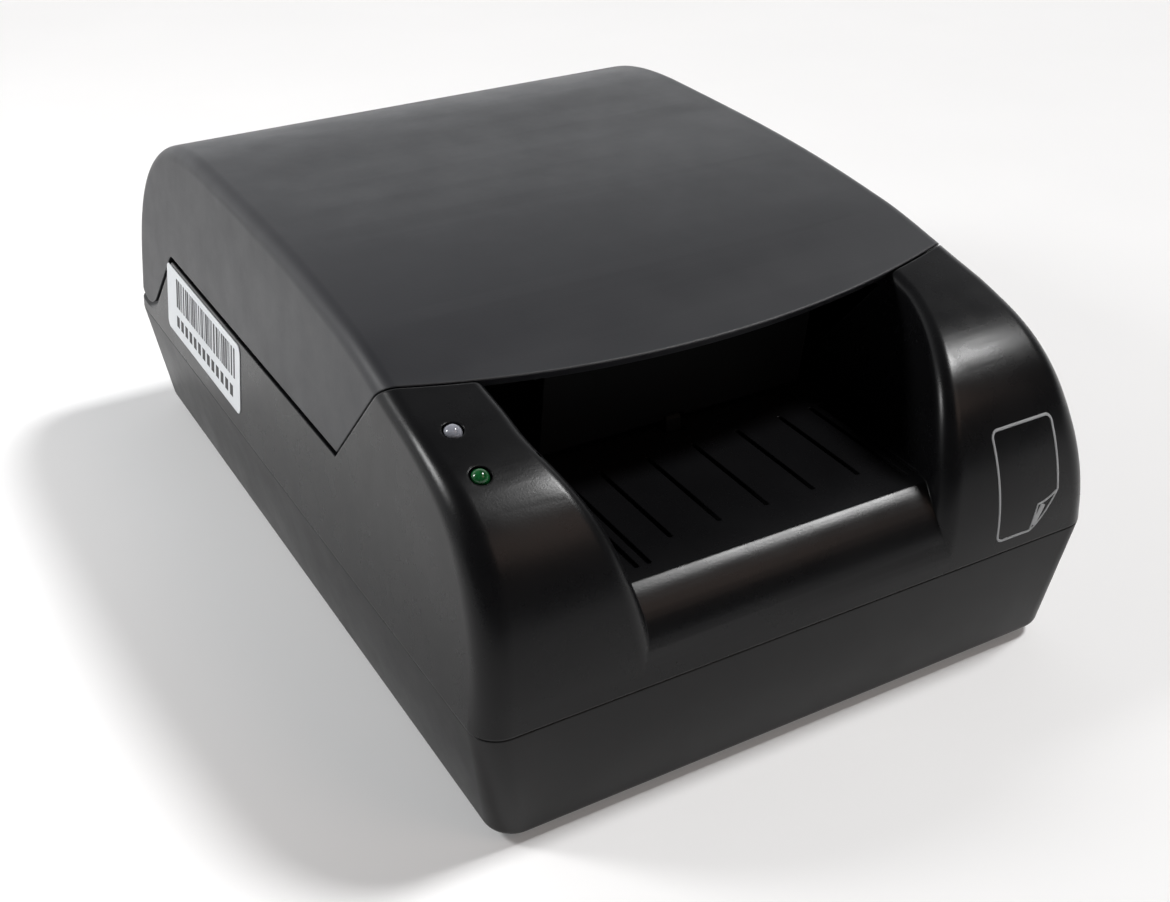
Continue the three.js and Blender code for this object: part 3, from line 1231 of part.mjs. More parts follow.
function baseCasing() {
  let base = baseBody().subtract(baseCavity());
  const bossRadius = SCREW_HEAD_RADIUS + FIT + BOSS_WALL;
  for (const [x, y] of casingScrewPlaces()) {
    base = base.add(rodZ(bossRadius, BASE_FLOOR - ROOT, UNDERSIDE + BOSS_JOINT_HEIGHT, x, y));
  }
  for (const [x, y] of boardStandoffs()) {
    base = base.add(rodZ(STANDOFF_RADIUS, BASE_FLOOR - ROOT, BASE_FLOOR + BOARD_STANDOFF, x, y, SMALL_SIDES));
  }
  const postTop = switchBase() - FIT;
  base = base.add(block(
    -SWITCH_WIDTH / 2, SWITCH_WIDTH / 2, FLAG_Y - SWITCH_DEPTH / 2, FLAG_Y + SWITCH_DEPTH / 2,
    BASE_FLOOR - ROOT, postTop,
  ));
  for (const [x, y] of casingScrewPlaces()) {
    base = base.subtract(rodZ(SCREW_HEAD_RADIUS + FIT, 0, UNDERSIDE + SCREW_HEAD_DEPTH + FIT, x, y));
    base = base.subtract(rodZ(SCREW_RADIUS + FIT, 0, SEAM, x, y, SMALL_SIDES));
  }
  for (const [x, y] of footPlaces()) {
    base = base.subtract(rodZ(FOOT_RADIUS + FIT, 0, UNDERSIDE + FOOT_RECESS, x, y));
  }
  const wallY0 = HALF_DEPTH - BASE_TAPER_END - WALL - OVERSHOOT;
  base = base.subtract(block(
    USB_X - USB_WIDTH / 2 - SOCKET_CLEARANCE, USB_X + USB_WIDTH / 2 + SOCKET_CLEARANCE,
    wallY0, BEYOND, BOARD_TOP, BOARD_TOP + USB_HEIGHT + SOCKET_CLEARANCE,
  ));
  base = base.subtract(block(
    JACK_X - JACK_WIDTH / 2 - SOCKET_CLEARANCE, JACK_X + JACK_WIDTH / 2 + SOCKET_CLEARANCE,
    wallY0, BEYOND, BOARD_TOP, BOARD_TOP + JACK_HEIGHT + SOCKET_CLEARANCE,
  ));
  return base;
}

function footPlaces() {
  return [
    [-FOOT_X, -FOOT_Y],
    [FOOT_X, -FOOT_Y],
    [-FOOT_X, FOOT_Y],
    [FOOT_X, FOOT_Y],
  ];
}

function foot(x, y) {
  const top = UNDERSIDE + FOOT_RECESS - FIT;
  return turnedZ([
    [0, 0],
    [FOOT_RADIUS - FOOT_EDGE, 0],
    [FOOT_RADIUS, FOOT_EDGE],
    [FOOT_RADIUS, top],
    [0, top],
  ], x, y);
}

function casingScrew(x, y) {
  const seat = UNDERSIDE + SCREW_HEAD_DEPTH;
  const tip = seat + SCREW_LENGTH;
  return turnedZ([
    [0, seat - SCREW_HEAD_HEIGHT],
    [SCREW_HEAD_RADIUS, seat - SCREW_HEAD_HEIGHT],
    [SCREW_HEAD_RADIUS, seat],
    [SCREW_RADIUS, seat],
    [SCREW_RADIUS, tip - SCREW_RADIUS],
    [0, tip],
  ], x, y, SMALL_SIDES);
}

// Lights and boards

function statusLight(x, y) {
  const flangeTop = -WALL - 2 * FIT;
  const domeBase = LED_PROUD - LED_RADIUS;
  const points = [
    [0, flangeTop - LED_FLANGE_HEIGHT],
    [LED_FLANGE_RADIUS, flangeTop - LED_FLANGE_HEIGHT],
    [LED_FLANGE_RADIUS, flangeTop],
    [LED_RADIUS, flangeTop],
  ];
  for (let i = 0; i <= DOME_STEPS; i += 1) {
    const angle = (i / DOME_STEPS) * (Math.PI / 2);
    points.push([LED_RADIUS * Math.cos(angle), domeBase + LED_RADIUS * Math.sin(angle)]);
  }
  points[points.length - 1][0] = 0;
  return turnedAtLight(points, x, y);
}

function lightBoard() {
  const y = (LED_CLEAR_Y + LED_GREEN_Y) / 2;
  const x = (LED_CLEAR_X + LED_GREEN_X) / 2;
  const z = (surfaceHeight(LED_CLEAR_Y) + surfaceHeight(LED_GREEN_Y)) / 2;
  const top = -WALL - 2 * FIT - LED_FLANGE_HEIGHT - FIT;
  const geometry = new THREE.BoxGeometry(LED_BOARD_WIDTH, LED_BOARD_LENGTH, LED_BOARD_THICKNESS);
  geometry.translate(0, 0, top - LED_LEAD_LENGTH - LED_BOARD_THICKNESS / 2);
  geometry.rotateX(lightTilt());
  geometry.translate(x, y, z);
  return solid(geometry);
}

function mainBoard() {
  let board = block(BOARD_LEFT_X, BOARD_RIGHT_X, BOARD_FRONT_Y, BOARD_REAR_Y, BOARD_Z, BOARD_TOP);
  const low = BOARD_TOP - FIT;
  for (const { x, setback, width, depth, height } of [PROCESSOR, MEMORY, MOTOR_DRIVER]) {
    const y = BOARD_FRONT_Y + setback;
    board = board.add(block(
      x - width / 2, x + width / 2, y - depth / 2, y + depth / 2, low, BOARD_TOP + height,
    ));
  }
  for (const y of [CAPACITOR_FIRST_Y, CAPACITOR_FIRST_Y + CAPACITOR_PITCH]) {
    board = board.add(rodZ(CAPACITOR_RADIUS, low, BOARD_TOP + CAPACITOR_HEIGHT, CAPACITOR_X, y, SMALL_SIDES));
  }
  return board;
}

function usbSocket() {
  const z0 = BOARD_TOP + FIT;
  const z1 = z0 + USB_HEIGHT - FIT;
  const y0 = SOCKET_FACE_Y - USB_DEPTH;
  const left = USB_X - USB_WIDTH / 2;
  const right = USB_X + USB_WIDTH / 2;
  const mouth = polygon([
    [left + USB_SHELL, z0 + USB_SHELL],
    [right - USB_SHELL, z0 + USB_SHELL],
    [right - USB_SHELL, z1 - USB_SHELL - USB_BEVEL],
    [right - USB_SHELL - USB_BEVEL, z1 - USB_SHELL],
    [left + USB_SHELL + USB_BEVEL, z1 - USB_SHELL],
    [left + USB_SHELL, z1 - USB_SHELL - USB_BEVEL],
  ]);
  const depth = USB_MOUTH_DEPTH + OVERSHOOT;
  const geometry = new THREE.ExtrudeGeometry(mouth, { depth, bevelEnabled: false });
  geometry.rotateX(Math.PI / 2);
  geometry.translate(0, SOCKET_FACE_Y + OVERSHOOT, 0);
  const middle = (z0 + z1) / 2;
  const tongue = block(
    USB_X - USB_TONGUE_WIDTH / 2, USB_X + USB_TONGUE_WIDTH / 2,
    SOCKET_FACE_Y - USB_MOUTH_DEPTH - ROOT, SOCKET_FACE_Y - SOCKET_PIN_SETBACK,
    middle - USB_TONGUE_HEIGHT / 2, middle + USB_TONGUE_HEIGHT / 2,
  );
  return block(left, right, y0, SOCKET_FACE_Y, z0, z1).subtract(solid(geometry)).add(tongue);
}

function powerJack() {
  const z0 = BOARD_TOP + FIT;
  const z1 = z0 + JACK_HEIGHT - FIT;
  const y0 = SOCKET_FACE_Y - JACK_DEPTH;
  const bottom = SOCKET_FACE_Y - JACK_BORE_DEPTH;
  const middle = (z0 + z1) / 2 + JACK_BORE_RISE;
  const pinEnd = SOCKET_FACE_Y - SOCKET_PIN_SETBACK;
  return block(JACK_X - JACK_WIDTH / 2, JACK_X + JACK_WIDTH / 2, y0, SOCKET_FACE_Y, z0, z1)
    .subtract(rodY(JACK_BORE_RADIUS, bottom, SOCKET_FACE_Y + OVERSHOOT, JACK_X, middle))
    .add(rodY(JACK_PIN_RADIUS, bottom - ROOT, pinEnd, JACK_X, middle, SMALL_SIDES));
}

// Line sensor

function sensorGlass() {
  return block(
    -GLASS_LENGTH / 2, GLASS_LENGTH / 2, SENSOR_Y - GLASS_WIDTH / 2, SENSOR_Y + GLASS_WIDTH / 2,
    BED_BELOW, BED,
  );
}

const SENSOR_TOP = BED_BELOW - FIT;

function sensorModule() {
  const z0 = SENSOR_TOP - SENSOR_HEIGHT;
  const body = block(
    -SENSOR_LENGTH / 2, SENSOR_LENGTH / 2, SENSOR_Y - SENSOR_WIDTH / 2, SENSOR_Y + SENSOR_WIDTH / 2,
    z0, SENSOR_TOP,
  );
  const slit = block(
    -SENSOR_SLIT_LENGTH / 2, SENSOR_SLIT_LENGTH / 2,
    SENSOR_Y - SENSOR_SLIT_WIDTH / 2, SENSOR_Y + SENSOR_SLIT_WIDTH / 2,
    SENSOR_TOP - SENSOR_SLIT_DEPTH, SENSOR_TOP + OVERSHOOT,
  );
  const rear = SENSOR_Y + SENSOR_WIDTH / 2;
  const low = z0 + SENSOR_CONNECTOR_RISE;
  const connector = block(
    -SENSOR_CONNECTOR_LENGTH / 2, SENSOR_CONNECTOR_LENGTH / 2,
    rear - ROOT, rear + SENSOR_CONNECTOR_SIZE, low, low + SENSOR_CONNECTOR_SIZE,
  );
  return body.subtract(slit).add(connector);
}

function sensorBracket() {
  const top = SENSOR_TOP - SENSOR_HEIGHT - FIT;
  const end = PLATE_X - FIT;
  const y0 = SENSOR_Y - BRACKET_WIDTH / 2;
  const y1 = SENSOR_Y + BRACKET_WIDTH / 2;
  return join(
    block(-end, end, y0, y1, top - BRACKET_THICKNESS, top),
    block(-end, -end + BRACKET_THICKNESS, y0, y1, top - BRACKET_TAB, top),
    block(end - BRACKET_THICKNESS, end, y0, y1, top - BRACKET_TAB, top),
  );
}

// Shafts, rollers, bushings

function rollerShaft(y) {
  const right = GEAR_FIRST_PLANE_X + GEAR_WIDTH + SHAFT_END;
  return turnedX([
    [0, SHAFT_LEFT_X],
    [SHAFT_RADIUS - SHAFT_CHAMFER, SHAFT_LEFT_X],
    [SHAFT_RADIUS, SHAFT_LEFT_X + SHAFT_CHAMFER],
    [SHAFT_RADIUS, right - SHAFT_CHAMFER],
    [SHAFT_RADIUS - SHAFT_CHAMFER, right],
    [0, right],
  ], y, SHAFT_Z);
}

function rubberRoller(x, y) {
  return rodX(ROLLER_RADIUS, x - ROLLER_LENGTH / 2, x + ROLLER_LENGTH / 2, y, SHAFT_Z, ROLLER_SIDES).subtract(
    rodX(SHAFT_RADIUS + FIT, x - ROLLER_LENGTH, x + ROLLER_LENGTH, y, SHAFT_Z),
  );
}

const BUSHING_RADIUS = SHAFT_RADIUS + FIT + BUSHING_WALL;

function bushing(side, y) {
  const inner = side * (PLATE_X - FIT);
  const seat = side * (PLATE_X + PLATE_THICKNESS + FIT);
  const outer = seat + side * BUSHING_FLANGE_THICKNESS;
  const [a, b] = side > 0 ? [inner, seat] : [seat, inner];
  const [c, d] = side > 0 ? [seat, outer] : [outer, seat];
  return rodX(BUSHING_RADIUS, a, b, y, SHAFT_Z)
    .add(rodX(BUSHING_RADIUS + BUSHING_FLANGE, c, d, y, SHAFT_Z))
    .subtract(rodX(SHAFT_RADIUS + FIT, Math.min(a, c) - OVERSHOOT, Math.max(b, d) + OVERSHOOT, y, SHAFT_Z));
}

// Gear train. Angles are in the Y-Z plane, from +Y towards +Z.

function pitchRadius(teeth) {
  return (GEAR_MODULE * teeth) / 2;
}

function gearLayout() {
  const transport = new THREE.Vector2(TRANSPORT_Y, SHAFT_Z);
  const entry = new THREE.Vector2(ENTRY_Y, SHAFT_Z);
  const half = (TRANSPORT_Y - ENTRY_Y) / 2;
  const reach = pitchRadius(SHAFT_TEETH) + pitchRadius(IDLER_TEETH);
  const idler = new THREE.Vector2((TRANSPORT_Y + ENTRY_Y) / 2, SHAFT_Z - Math.sqrt(reach ** 2 - half ** 2));
  const step = (from, angle, distance) => new THREE.Vector2(
    from.x + distance * Math.cos(radians(angle)),
    from.y + distance * Math.sin(radians(angle)),
  );
  const reductionReach = pitchRadius(SHAFT_TEETH) + pitchRadius(REDUCTION_SMALL_TEETH);
  const reduction = step(transport, REDUCTION_ANGLE, reductionReach);
  const motor = step(reduction, PINION_ANGLE, pitchRadius(REDUCTION_LARGE_TEETH) + pitchRadius(PINION_TEETH));
  return { transport, entry, idler, reduction, motor };
}

// The turn of a gear that brings its tooth gaps onto the teeth of the gear that it meshes with.
function meshedPhase(place, otherPlace, teeth, otherTeeth, otherPhase) {
  const facing = Math.atan2(place.y - otherPlace.y, place.x - otherPlace.x);
  return facing + Math.PI + Math.PI / teeth - (otherPhase - facing) * (otherTeeth / teeth);
}

function gearPhases() {
  const places = gearLayout();
  const transport = 0;
  const idler = meshedPhase(places.idler, places.transport, IDLER_TEETH, SHAFT_TEETH, transport);
  const entry = meshedPhase(places.entry, places.idler, SHAFT_TEETH, IDLER_TEETH, idler);
  const reductionSmall = meshedPhase(
    places.reduction, places.transport, REDUCTION_SMALL_TEETH, SHAFT_TEETH, transport,
  );
  const reductionLarge = 0;
  const pinion = meshedPhase(
    places.motor, places.reduction, PINION_TEETH, REDUCTION_LARGE_TEETH, reductionLarge,
  );
  return { transport, idler, entry, reductionSmall, reductionLarge, pinion };
}

// A spur gear across X at a place in the Y-Z plane. Its teeth have straight flanks.
function toothedDisc(teeth, phase, place, x0, x1) {
  const pitch = pitchRadius(teeth);
  const tip = pitch + TOOTH_ABOVE_PITCH * GEAR_MODULE;
  const root = pitch - TOOTH_BELOW_PITCH * GEAR_MODULE;
  const quarter = Math.PI / (2 * teeth);
  const slack = GEAR_BACKLASH / pitch;
  const tipHalf = TOOTH_TIP_SHARE * quarter - slack / 2;
  const rootHalf = TOOTH_ROOT_SHARE * quarter - slack;
  const points = [];
  for (let i = 0; i < teeth; i += 1) {
    const middle = phase + (2 * Math.PI * i) / teeth;
    for (const [offset, radius] of [[-rootHalf, root], [-tipHalf, tip], [tipHalf, tip], [rootHalf, root]]) {
      const angle = middle + offset;
      points.push([place.x + radius * Math.cos(angle), place.y + radius * Math.sin(angle)]);
    }
  }
  return prismX(polygon(points), x0, x1);
}

function shaftGear(place, phase) {
  const x0 = GEAR_FIRST_PLANE_X;
  const x1 = x0 + GEAR_WIDTH;
  const hubStart = PLATE_X + PLATE_THICKNESS + FIT + BUSHING_FLANGE_THICKNESS + FIT;
  return toothedDisc(SHAFT_TEETH, phase, place, x0, x1)
    .add(rodX(SHAFT_HUB_RADIUS, hubStart, x0 + ROOT, place.x, place.y))
    .subtract(rodX(SHAFT_RADIUS + FIT, hubStart - OVERSHOOT, x1 + OVERSHOOT, place.x, place.y));
}

function idlerGear(place, phase) {
  const x0 = GEAR_FIRST_PLANE_X;
  const x1 = x0 + GEAR_WIDTH;
  const hubStart = PLATE_X + PLATE_THICKNESS + FIT;
  return toothedDisc(IDLER_TEETH, phase, place, x0, x1)
    .add(rodX(HUB_RADIUS, hubStart, x0 + ROOT, place.x, place.y))
    .subtract(rodX(AXLE_RADIUS + FIT, hubStart - OVERSHOOT, x1 + OVERSHOOT, place.x, place.y, SMALL_SIDES));
}

function reductionGear(place, smallPhase, largePhase) {
  const hubStart = PLATE_X + PLATE_THICKNESS + FIT;
  const small = GEAR_FIRST_PLANE_X;
  const large = SECOND_PLANE_X;
  const end = large + GEAR_WIDTH;
  return toothedDisc(REDUCTION_SMALL_TEETH, smallPhase, place, small, large + ROOT)
    .add(toothedDisc(REDUCTION_LARGE_TEETH, largePhase, place, large, end))
    .add(rodX(HUB_RADIUS, hubStart, small + ROOT, place.x, place.y))
    .subtract(rodX(AXLE_RADIUS + FIT, hubStart - OVERSHOOT, end + OVERSHOOT, place.x, place.y, SMALL_SIDES));
}

function gearAxle(place, gearEnd) {
  const start = PLATE_X - AXLE_TAIL;
  const head = gearEnd + FIT;
  return turnedX([
    [0, start],
    [AXLE_RADIUS, start],
    [AXLE_RADIUS, head],
    [AXLE_HEAD_RADIUS, head],
    [AXLE_HEAD_RADIUS, head + AXLE_HEAD_THICKNESS],
    [0, head + AXLE_HEAD_THICKNESS],
  ], place.x, place.y, SMALL_SIDES);
}

function motorPinion(place, phase) {
  const start = PLATE_X - PINION_SHAFT_INSIDE;
  const end = SECOND_PLANE_X + GEAR_WIDTH;
  return rodX(MOTOR_SHAFT_RADIUS, start, end + PINION_SHAFT_PROUD, place.x, place.y, SMALL_SIDES)
    .add(toothedDisc(PINION_TEETH, phase, place, SECOND_PLANE_X - PINION_MARGIN, end + PINION_MARGIN));
}

function driveMotor(place) {
  const front = PLATE_X - FIT;
  const boss = PLATE_X + PLATE_THICKNESS + MOTOR_BOSS_PROUD;
  let motor = turnedX([
    [0, front - MOTOR_LENGTH],
    [MOTOR_RADIUS - MOTOR_EDGE, front - MOTOR_LENGTH],
    [MOTOR_RADIUS, front - MOTOR_LENGTH + MOTOR_EDGE],
    [MOTOR_RADIUS, front],
    [MOTOR_BOSS_RADIUS, front],
    [MOTOR_BOSS_RADIUS, boss],
    [0, boss],
  ], place.x, place.y, ROLLER_SIDES);
  const earReach = motorEarReach();
  const ear = new THREE.Shape();
  ear.moveTo(place.x - earReach, place.y - MOTOR_EAR_RADIUS);
  ear.absarc(place.x + earReach, place.y, MOTOR_EAR_RADIUS, -Math.PI / 2, Math.PI / 2, false);
  ear.absarc(place.x - earReach, place.y, MOTOR_EAR_RADIUS, Math.PI / 2, 1.5 * Math.PI, false);
  motor = motor.add(prismX(ear, front - MOTOR_EAR_THICKNESS, front, CORNER_STEPS));
  const bottom = PLATE_X - PINION_SHAFT_INSIDE - OVERSHOOT;
  const bore = MOTOR_SHAFT_RADIUS + FIT;
  return motor.subtract(rodX(bore, bottom, boss + OVERSHOOT, place.x, place.y, SMALL_SIDES));
}

function motorEarReach() {
  return MOTOR_RADIUS + MOTOR_EAR_RADIUS - MOTOR_EAR_OVERLAP;
}

// Side plates

function plateScrewPlaces() {
  const z = BED_BELOW - PLATE_SCREW_DROP;
  return [
    [PLATE_FRONT_SCREW_Y, z, -1],
    [LEFT_PLATE_REAR_SCREW_Y, z, -1],
    [PLATE_FRONT_SCREW_Y, z, 1],
    [RIGHT_PLATE_REAR_SCREW_Y, z, 1],
  ];
}

function gearPlate() {
  const { idler, reduction, motor } = gearLayout();
  const motorEnd = motor.x + motorEarReach() + MOTOR_EAR_RADIUS;
  const rear = Math.max(RIGHT_PLATE_REAR_SCREW_Y + PLATE_MARGIN, motorEnd);
  const low = motor.y - MOTOR_BOSS_RADIUS - PLATE_MARGIN;
  const shape = roundedPlateShape(PLATE_FRONT_Y, rear, low, PLATE_TOP, PLATE_CORNER);
  let plate = prismX(shape, PLATE_X, PLATE_X + PLATE_THICKNESS, CORNER_STEPS);
  const frontLow = idler.y - HUB_RADIUS - PLATE_MARGIN;
  const x0 = PLATE_X - OVERSHOOT;
  const x1 = PLATE_X + PLATE_THICKNESS + OVERSHOOT;
  plate = plate.subtract(block(x0, x1, -BEYOND, idler.x - PLATE_STEP, 0, frontLow));
  const bore = (radius, y, z) => {
    plate = plate.subtract(rodX(radius, x0, x1, y, z));
  };
  bore(BUSHING_RADIUS + FIT, ENTRY_Y, SHAFT_Z);
  bore(BUSHING_RADIUS + FIT, TRANSPORT_Y, SHAFT_Z);
  bore(AXLE_RADIUS + FIT, idler.x, idler.y);
  bore(AXLE_RADIUS + FIT, reduction.x, reduction.y);
  bore(MOTOR_BOSS_RADIUS + FIT, motor.x, motor.y);
  for (const [y, z, side] of plateScrewPlaces()) {
    if (side > 0) {
      bore(PLATE_SCREW_RADIUS + FIT, y, z);
    }
  }
  return plate;
}

function bearingPlate() {
  const low = BED_BELOW - PLATE_BOSS_DROP - PLATE_MARGIN;
  const rear = LEFT_PLATE_REAR_SCREW_Y + PLATE_MARGIN;
  const shape = roundedPlateShape(PLATE_FRONT_Y, rear, low, PLATE_TOP, PLATE_CORNER);
  let plate = prismX(shape, -PLATE_X - PLATE_THICKNESS, -PLATE_X, CORNER_STEPS);
  const bore = (radius, y, z) => {
    plate = plate.subtract(rodX(radius, -PLATE_X - PLATE_THICKNESS - OVERSHOOT, -PLATE_X + OVERSHOOT, y, z));
  };
  bore(BUSHING_RADIUS + FIT, ENTRY_Y, SHAFT_Z);
  bore(BUSHING_RADIUS + FIT, TRANSPORT_Y, SHAFT_Z);
  for (const [y, z, side] of plateScrewPlaces()) {
    if (side < 0) {
      bore(PLATE_SCREW_RADIUS + FIT, y, z);
    }
  }
  return plate;
}

// Card flag

function flagPivotZ() {
  return BED - FLAG_PIVOT_DROP;
}

function cardFlag() {
  const z = flagPivotZ();
  const half = FLAG_WIDTH / 2;
  const tip = BED + FLAG_PROUD;
  const low = FLAG_ROOT_THICKNESS / 2;
  const high = FLAG_TIP_THICKNESS / 2;
  const arm = polygon([
    [FLAG_Y - low, z],
    [FLAG_Y + low, z],
    [FLAG_Y + high, tip - FLAG_TIP_BEVEL],
    [FLAG_Y + high - FLAG_TIP_BEVEL, tip],
    [FLAG_Y - high + FLAG_TIP_BEVEL, tip],
    [FLAG_Y - high, tip - FLAG_TIP_BEVEL],
  ]);
  const vane = block(
    -FLAG_VANE_THICKNESS / 2, FLAG_VANE_THICKNESS / 2,
    FLAG_Y - FLAG_VANE_WIDTH / 2, FLAG_Y + FLAG_VANE_WIDTH / 2, z - FLAG_VANE_LENGTH, z,
  );
  const bore = rodX(FLAG_PIN_RADIUS + FIT, -half - OVERSHOOT, half + OVERSHOOT, FLAG_Y, z, SMALL_SIDES);
  const hub = rodX(FLAG_HUB_RADIUS, -half, half, FLAG_Y, z, SMALL_SIDES);
  return join(hub, prismX(arm, -half, half), vane).subtract(bore);
}

function flagPin() {
  const reach = FLAG_WIDTH / 2 + FIT + FLAG_EAR;
  return rodX(FLAG_PIN_RADIUS, -reach, reach, FLAG_Y, flagPivotZ(), SMALL_SIDES);
}

function switchBase() {
  return flagPivotZ() - FLAG_VANE_LENGTH + FLAG_VANE_IN_SWITCH - SWITCH_HEIGHT;
}

function flagSwitch() {
  const z0 = switchBase();
  const z1 = z0 + SWITCH_HEIGHT;
  const body = block(
    -SWITCH_WIDTH / 2, SWITCH_WIDTH / 2, FLAG_Y - SWITCH_DEPTH / 2, FLAG_Y + SWITCH_DEPTH / 2, z0, z1,
  );
  const slot = block(-SWITCH_SLOT / 2, SWITCH_SLOT / 2, -BEYOND, BEYOND, z0 + SWITCH_FLOOR, z1 + OVERSHOOT);
  return body.subtract(slot);
}

// Pressure rollers

function presserShaft(y) {
  const half = PRESSER_SHAFT_LENGTH / 2;
  return rodX(PRESSER_SHAFT_RADIUS, -half, half, y, PRESSER_Z, SMALL_SIDES);
}

function presserRoller(x, y) {
  const half = PRESSER_LENGTH / 2;
  const bore = rodX(
    PRESSER_SHAFT_RADIUS + FIT, x - half - OVERSHOOT, x + half + OVERSHOOT, y, PRESSER_Z, SMALL_SIDES,
  );
  return rodX(PRESSER_RADIUS, x - half, x + half, y, PRESSER_Z, ROLLER_SIDES).subtract(bore);
}

function backingPlaten() {
  return block(
    -PLATEN_LENGTH / 2, PLATEN_LENGTH / 2, SENSOR_Y - PLATEN_WIDTH / 2, SENSOR_Y + PLATEN_WIDTH / 2,
    FRAME_BELOW, FRAME_BELOW + PLATEN_THICKNESS,
  );
}

function hingePin(side) {
  const [x0, x1] = side > 0 ? [PIN_INNER_X, PIN_OUTER_X] : [-PIN_OUTER_X, -PIN_INNER_X];
  return rodX(PIN_RADIUS, x0, x1, HINGE_Y, HINGE_Z);
}

// Assembly

const scanner = new THREE.Group();
const coverGroup = new THREE.Group();
scanner.add(coverGroup);

function place(parent, name, body, material) {
  const mesh = new THREE.Mesh(geometryOf(body), material);
  mesh.name = name;
  parent.add(mesh);
}

const layout = gearLayout();
const phases = gearPhases();
const corners = ['front_left', 'front_right', 'rear_left', 'rear_right'];
const sides = [['left', -1], ['right', 1]];

place(scanner, 'base_casing', baseCasing(), shellBlack);
place(scanner, 'middle_casing', middleCasing(), shellBlack);
footPlaces().forEach(([x, y], i) => place(scanner, `foot_${corners[i]}`, foot(x, y), rubber));
casingScrewPlaces().forEach(([x, y], i) => {
  place(scanner, `casing_screw_${corners[i]}`, casingScrew(x, y), zinc);
});

place(scanner, 'status_light_clear', statusLight(LED_CLEAR_X, LED_CLEAR_Y), clearLens);
place(scanner, 'status_light_green', statusLight(LED_GREEN_X, LED_GREEN_Y), greenLens);
place(scanner, 'light_board', lightBoard(), boardGreen);
place(scanner, 'main_board', mainBoard(), boardGreen);
place(scanner, 'usb_socket', usbSocket(), steel);
place(scanner, 'power_jack', powerJack(), socketPlastic);

place(scanner, 'sensor_glass', sensorGlass(), glass);
place(scanner, 'sensor_module', sensorModule(), frameBlack);
place(scanner, 'sensor_bracket', sensorBracket(), zinc);

place(scanner, 'gear_plate', gearPlate(), zinc);
place(scanner, 'bearing_plate', bearingPlate(), zinc);

for (const [stage, y, gearPlace, phase] of [
  ['entry', ENTRY_Y, layout.entry, phases.entry],
  ['transport', TRANSPORT_Y, layout.transport, phases.transport],
]) {
  place(scanner, `${stage}_shaft`, rollerShaft(y), steel);
  place(scanner, `${stage}_gear`, shaftGear(gearPlace, phase), gearWhite);
  for (const [sideName, side] of sides) {
    place(scanner, `${stage}_roller_${sideName}`, rubberRoller(side * ROLLER_X, y), rubber);
    place(scanner, `${stage}_bushing_${sideName}`, bushing(side, y), brass);
    place(coverGroup, `${stage}_presser_${sideName}`, presserRoller(side * ROLLER_X, y), frameBlack);
  }
  place(coverGroup, `${stage}_presser_shaft`, presserShaft(y), steel);
  place(coverGroup, `${stage}_presser_spring`, leafSpring(y), steel);
}

place(scanner, 'idler_gear', idlerGear(layout.idler, phases.idler), gearWhite);
place(scanner, 'idler_axle', gearAxle(layout.idler, GEAR_FIRST_PLANE_X + GEAR_WIDTH), steel);
const reductionBody = reductionGear(layout.reduction, phases.reductionSmall, phases.reductionLarge);
place(scanner, 'reduction_gear', reductionBody, gearWhite);
place(scanner, 'reduction_axle', gearAxle(layout.reduction, SECOND_PLANE_X + GEAR_WIDTH), steel);
place(scanner, 'drive_motor', driveMotor(layout.motor), zinc);
place(scanner, 'motor_pinion', motorPinion(layout.motor, phases.pinion), brass);

place(scanner, 'card_flag', cardFlag(), frameBlack);
place(scanner, 'card_flag_pin', flagPin(), steel);
place(scanner, 'card_flag_switch', flagSwitch(), frameBlack);

for (const [sideName, side] of sides) {
  place(scanner, `hinge_pin_${sideName}`, hingePin(side), steel);
}

place(coverGroup, 'top_cover', topCover(), coverSlate);
place(coverGroup, 'pressure_frame', pressureFrame(), frameBlack);
place(coverGroup, 'backing_platen', backingPlaten(), platenWhite);
frameScrewPlaces().forEach(([x, y], i) => {
  place(coverGroup, `frame_screw_${corners[i]}`, frameScrew(x, y), zinc);
});

export default scanner;
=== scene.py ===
"""Looks of the identity card scanner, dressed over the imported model.

The casings, feet, lights, rollers and leaf springs are rebuilt finely from the solids' sizes. The paper
label, the printed page sign and the side plates' screws are added, and every node gets a procedural material.
Solids are made in millimetres and turned into metres when they become pieces.
"""
from math import asin, atan2, cos, hypot, pi, radians, sin, sqrt, tan

import bmesh
import bpy
from mathutils import Matrix, Vector


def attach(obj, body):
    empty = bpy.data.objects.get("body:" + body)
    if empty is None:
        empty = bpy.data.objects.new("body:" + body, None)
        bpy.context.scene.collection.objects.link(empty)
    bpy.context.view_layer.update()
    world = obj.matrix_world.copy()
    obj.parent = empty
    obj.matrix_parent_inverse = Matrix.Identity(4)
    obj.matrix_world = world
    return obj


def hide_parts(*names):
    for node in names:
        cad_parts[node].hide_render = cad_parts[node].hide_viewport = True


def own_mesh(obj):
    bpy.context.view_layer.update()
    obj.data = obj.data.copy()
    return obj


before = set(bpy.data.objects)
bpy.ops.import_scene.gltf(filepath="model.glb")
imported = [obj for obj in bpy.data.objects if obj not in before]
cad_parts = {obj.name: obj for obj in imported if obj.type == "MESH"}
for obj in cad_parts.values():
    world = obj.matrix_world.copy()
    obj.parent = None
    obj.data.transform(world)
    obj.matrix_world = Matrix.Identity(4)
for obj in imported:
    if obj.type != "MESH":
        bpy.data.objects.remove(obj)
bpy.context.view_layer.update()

MM = 0.001
QUARTER = pi / 2
SIDES = (-1, 1)  # left and right
scene = bpy.context.scene

